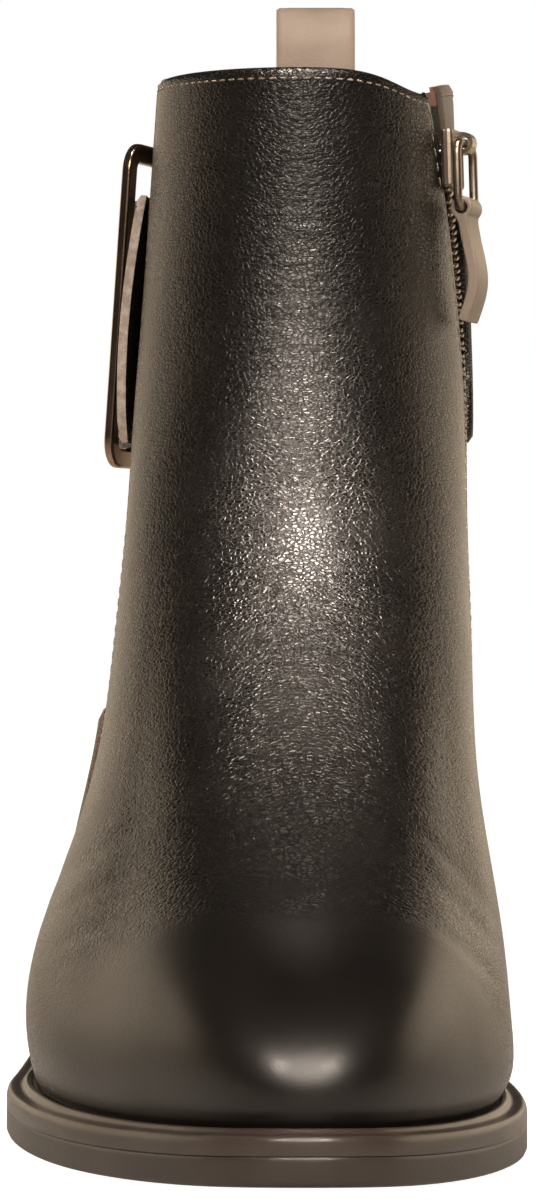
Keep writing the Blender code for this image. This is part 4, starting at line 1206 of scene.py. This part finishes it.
def close_poles(item):
    """Joins the points that meet at a pole."""
    shape = bmesh.new()
    shape.from_mesh(item.data)
    bmesh.ops.remove_doubles(shape, verts=shape.verts, dist=1e-6)
    bmesh.ops.dissolve_degenerate(shape, edges=shape.edges, dist=1e-7)
    shape.to_mesh(item.data)
    shape.free()


def sole_plate(rim, dish=0.0):
    """Points and faces of a plate in the sole's outline, with (inset, height) up its rim."""
    shares = np.linspace(0, 1, 9)[:-1]
    loops = [sole_loop(sole_turn, *rim[0], share) for share in shares]
    loops += [sole_loop(sole_turn, inset, height) for inset, height in rim]
    for share in shares[::-1]:
        loops.append(sole_loop(sole_turn, rim[-1][0], rim[-1][1] - dish * (1 - share**2), share))
    return closed_skin(loops)


insole_inset = ledge(sole_turn) + WALL + INSOLE_GAP
insole_low = OUTSOLE_THICKNESS + FIT
insole_high = FEATHER_TOP + INSOLE_TOP
insole_rim = (
    (insole_inset + 0.6, insole_low),
    (insole_inset, insole_low + 0.6),
    (insole_inset, insole_high - 0.9),
    (insole_inset + 0.3, insole_high - 0.3),
    (insole_inset + 1.0, insole_high),
)
insole = make_piece("insole_padded", *sole_plate(insole_rim, dish=0.5), inside_leather)
close_poles(insole)
soft_edges(insole, 60)
fit(insole, "boot", "lining_leather", "insole")

# Welt: a strip of dark stained leather between upper and outsole, with a raised bead next to the upper.
# Its outer edge is trimmed, dyed and waxed.
WELT_SECTION = (
    (0.985, 0.03),
    (1.00, 0.25),
    (1.00, FIT + 1.3),
    (0.985, FIT + 2.0),
    (0.945, FIT + 2.6),
    (0.87, FIT + 3.1),
    (0.46, FIT + 3.1),
    (0.38, FIT + 4.1),
    (0.20, FIT + 4.1),
    (0.14, FIT + WELT_THICKNESS),
    (-0.50, FIT + WELT_THICKNESS),
    (-0.50, FIT),
)


def cut_corners(section, rounds):
    """A closed section with its corners rounded off."""
    section = np.array(section)
    for _ in range(rounds):
        ahead = np.roll(section, -1, axis=0)
        pairs = [0.75 * section + 0.25 * ahead, 0.25 * section + 0.75 * ahead]
        section = np.stack(pairs, axis=1).reshape(-1, 2)
    return section


def waxed_edge(name, light, dark, rough):
    """A trimmed leather edge, stained and waxed, with fine lines from the trimming wheel along it."""
    material, tree, shader, place = new_finish(name)
    lines = noise(tree, stretched(tree, place, (110.0, 110.0, 3000.0)), 1.0, 4.0)
    height = summed(tree, (lines, 0.6), (noise(tree, place, 2600.0, 3.0), 0.4))
    face = {
        "Base Color": blotches(tree, place, 12.0, (dark, light)),
        "Roughness": spread_between(tree, lines, rough - 0.08, rough + 0.12),
        "Normal": relief(tree, height, 0.5, 0.08),
        "Coat Weight": 0.15,
        "Coat Roughness": 0.25,
    }
    put(tree, shader, face)
    return material


welt_loops = []
for share, height in cut_corners(WELT_SECTION, 2):
    welt_loops.append(sole_loop(sole_turn, ledge(sole_turn) * (1 - share), OUTSOLE_THICKNESS + height))
welt_stain = waxed_edge("stained_welt", (0.055, 0.043, 0.036), (0.036, 0.028, 0.023), 0.30)
welt = make_piece("welt_strip", *tube(np.stack(welt_loops, axis=1)), welt_stain)
face_outwards(welt)
soft_edges(welt, 60)
fit(welt, "boot", "welt", "welt")

# Outsole: a dark rubber sole glued and pressed under the welt, with its lower edge chamfered
# and a plain pebbled tread underneath.
EDGE_CHAMFER = 0.8


def sole_rubber(name, light, dark):
    """Moulded rubber: a dull skin with a fine pebble underneath."""
    material, tree, shader, place = new_finish(name)
    pebble = node(tree, "ShaderNodeTexVoronoi", {"Vector": place, "Scale": 620.0}).outputs["Distance"]
    fine = noise(tree, place, 1800.0, 3.0)
    face = {
        "Base Color": blotches(tree, place, 14.0, (dark, light)),
        "Roughness": spread_between(tree, fine, 0.30, 0.42),
        "Normal": relief(tree, summed(tree, (pebble, 0.4), (fine, 0.4)), 0.4, 0.1),
    }
    put(tree, shader, face)
    return material


outsole_rim = (
    (EDGE_CHAMFER, 0.0),
    (0.25, 0.25),
    (0.0, EDGE_CHAMFER),
    (0.0, OUTSOLE_THICKNESS - 0.9),
    (0.0, OUTSOLE_THICKNESS - 0.3),
    (0.2, OUTSOLE_THICKNESS),
)
outsole_rubber = sole_rubber("dark_sole_rubber", (0.050, 0.040, 0.034), (0.035, 0.028, 0.024))
outsole = make_piece("outsole_moulded", *sole_plate(outsole_rim), outsole_rubber)
close_poles(outsole)
soft_edges(outsole, 50)
fit(outsole, "boot", "sole_rubber", "outsole")

# Heel: a straight block of wood covered in the dark sole colour, nailed and glued under the seat.
# A thin rubber top piece closes it at the floor.
HEEL_BREAST_TURN = 0.99
HEEL_SECTION = (
    (5.2, 0.0),
    (4.8, 0.03),
    (4.1, 0.35),
    (2.9, 0.70),
    (1.2, 1.0),
)
TOP_PIECE = 0.15
TOP_PIECE_GROOVE = 0.35
GROOVE_SHARE = 0.012
HEEL_ROWS = 60

heel_share = np.linspace(0, 1, HEEL_ROWS)
heel_inset = np.interp(heel_share, [s for _, s in HEEL_SECTION], [i for i, _ in HEEL_SECTION])
heel_inset = heel_inset + TOP_PIECE_GROOVE * np.exp(-(((heel_share - TOP_PIECE) / GROOVE_SHARE) ** 2))
heel_turn = np.linspace(-HEEL_BREAST_TURN, HEEL_BREAST_TURN, 120)
heel_loops = []
for share, inset in zip(heel_share, heel_inset):
    side = sole_edge(heel_turn, inset)
    breast = side[-1] + (side[0] - side[-1]) * np.linspace(0, 1, 40)[1:-1, None]
    plan = np.concatenate([side, breast])
    z = (tread(plan[:, 1] - TOE_Y) - FIT) * share
    heel_loops.append(np.concatenate([plan, z[:, None]], axis=-1))
heel_caps = []
for loop, on_floor in ((heel_loops[0], True), (heel_loops[-1], False)):
    middle = loop.mean(axis=0)
    rings = [middle + (loop - middle) * share for share in np.linspace(0, 1, 6)[:-1]]
    for ring in rings:
        if not on_floor:
            ring[:, 2] = tread(ring[:, 1] - TOE_Y) - FIT
    heel_caps.append(rings)
heel_loops = heel_caps[0] + heel_loops + heel_caps[1][::-1]
heel_stain = waxed_edge("heel_block_stain", (0.040, 0.031, 0.025), (0.026, 0.020, 0.016), 0.38)
heel = make_piece("heel_block", *closed_skin(heel_loops), heel_stain)
close_poles(heel)
face_outwards(heel)
soft_edges(heel, 45)
fit(heel, "boot", "heel_block", "heel")

# Studio: a plain pale floor like a lit white sweep, with warm light coming back from it behind the boot.
# One wide soft box stands in front above the lens, one warm one behind each side. Narrow beams light the
# toe and the instep, and a long lens looks on from the photo's place.
WARM = (1.0, 0.80, 0.58)
FLOOR_REACH = 9.0
FLOOR_SEEN = 1.0
FLOOR_GLOW = (0.04, 0.6)
FLOOR_FRONT_TO_BACK = (-0.25, 0.35)
WORLD_LIGHT = 0.02
CAMERA_PLACE = (0.0, -0.727, 0.098)
CAMERA_PITCH = math.radians(-0.32)
CAMERA_LENS = 118.2


def pale_floor():
    """White where the lens sees it; the light that it throws back is warm and rises towards the back."""
    material, tree, shader, place = new_finish("pale_floor")
    seen = node(tree, "ShaderNodeLightPath").outputs["Is Camera Ray"]
    tint = node(tree, "ShaderNodeMixRGB", {"Fac": seen, "Color1": (*WARM, 1), "Color2": (1, 1, 1, 1)})
    back = node(tree, "ShaderNodeSeparateXYZ", {"Vector": place}).outputs["Y"]
    lit = spread_between(tree, back, *FLOOR_GLOW, FLOOR_FRONT_TO_BACK)
    face = {
        "Base Color": blotches(tree, place, 300.0, ((0.30, 0.30, 0.30), (0.33, 0.33, 0.33))),
        "Roughness": 0.9,
        "Emission Color": tint.outputs["Color"],
        "Emission Strength": spread_between(tree, seen, lit, FLOOR_SEEN),
    }
    put(tree, shader, face)
    return material


corners = ((-1, -1), (1, -1), (1, 1), (-1, 1))
floor_mesh = bpy.data.meshes.new("floor")
floor_mesh.from_pydata([(x * FLOOR_REACH, y * FLOOR_REACH, 0.0) for x, y in corners], [], [(0, 1, 2, 3)])
floor_mesh.materials.append(pale_floor())
floor = linked("floor", floor_mesh)


def soft_light(name, place, aim, size, power, colour, spread=180.0):
    """A soft box that faces a point on the boot. size is across and up, spread its beam in degrees."""
    data = bpy.data.lights.new(name, "AREA")
    data.shape = "RECTANGLE"
    data.size, data.size_y = size
    data.energy = power
    data.color = colour
    data.spread = math.radians(spread)
    item = linked(name, data)
    item.location = place
    item.rotation_euler = (Vector(place) - Vector(aim)).to_track_quat("Z", "Y").to_euler()


MIDDLE = (0.005, 0.0, 0.11)
INSTEP = (0.008, 0.035, 0.115)
TOE = (0.005, -0.12, 0.022)
SOFT_WHITE = (1.0, 0.87, 0.75)
soft_light("key_light", (0.06, -1.18, 0.86), MIDDLE, (0.8, 0.7), 16.0, SOFT_WHITE)
soft_light("instep_light", (0.035, -0.05, 0.62), INSTEP, (0.12, 0.12), 0.07, SOFT_WHITE, spread=18.0)
for label, toe_x, side_x, side_power in (("outer", -0.315, -1.0, 3.7), ("inner", 0.325, 1.0, 4.5)):
    toe_place, side_place = (toe_x, -0.674, 0.503), (side_x, 1.1, 0.36)
    soft_light(label + "_toe_light", toe_place, TOE, (0.3, 0.3), 0.12, SOFT_WHITE, spread=14.0)
    soft_light(label + "_side_light", side_place, MIDDLE, (1.8, 0.64), side_power, WARM)

world = bpy.data.worlds.new("studio")
bpy.context.scene.world = world
world.use_nodes = True
sky = world.node_tree.nodes["Background"]
seen = node(world.node_tree, "ShaderNodeLightPath").outputs["Is Camera Ray"]
strength = spread_between(world.node_tree, seen, WORLD_LIGHT, 1.0)
world.node_tree.links.new(strength, sky.inputs["Strength"])
sky.inputs["Color"].default_value = (1.0, 1.0, 1.0, 1)

bpy.context.scene.view_settings.view_transform = "Standard"
camera_data = bpy.data.cameras.new("camera")
camera_data.lens = CAMERA_LENS
camera_data.sensor_width = 36.0
camera_data.clip_start = 0.05
camera = linked("camera", camera_data)
camera.location = CAMERA_PLACE
camera.rotation_euler = (math.pi / 2 + CAMERA_PITCH, 0, 0)
bpy.context.scene.camera = camera
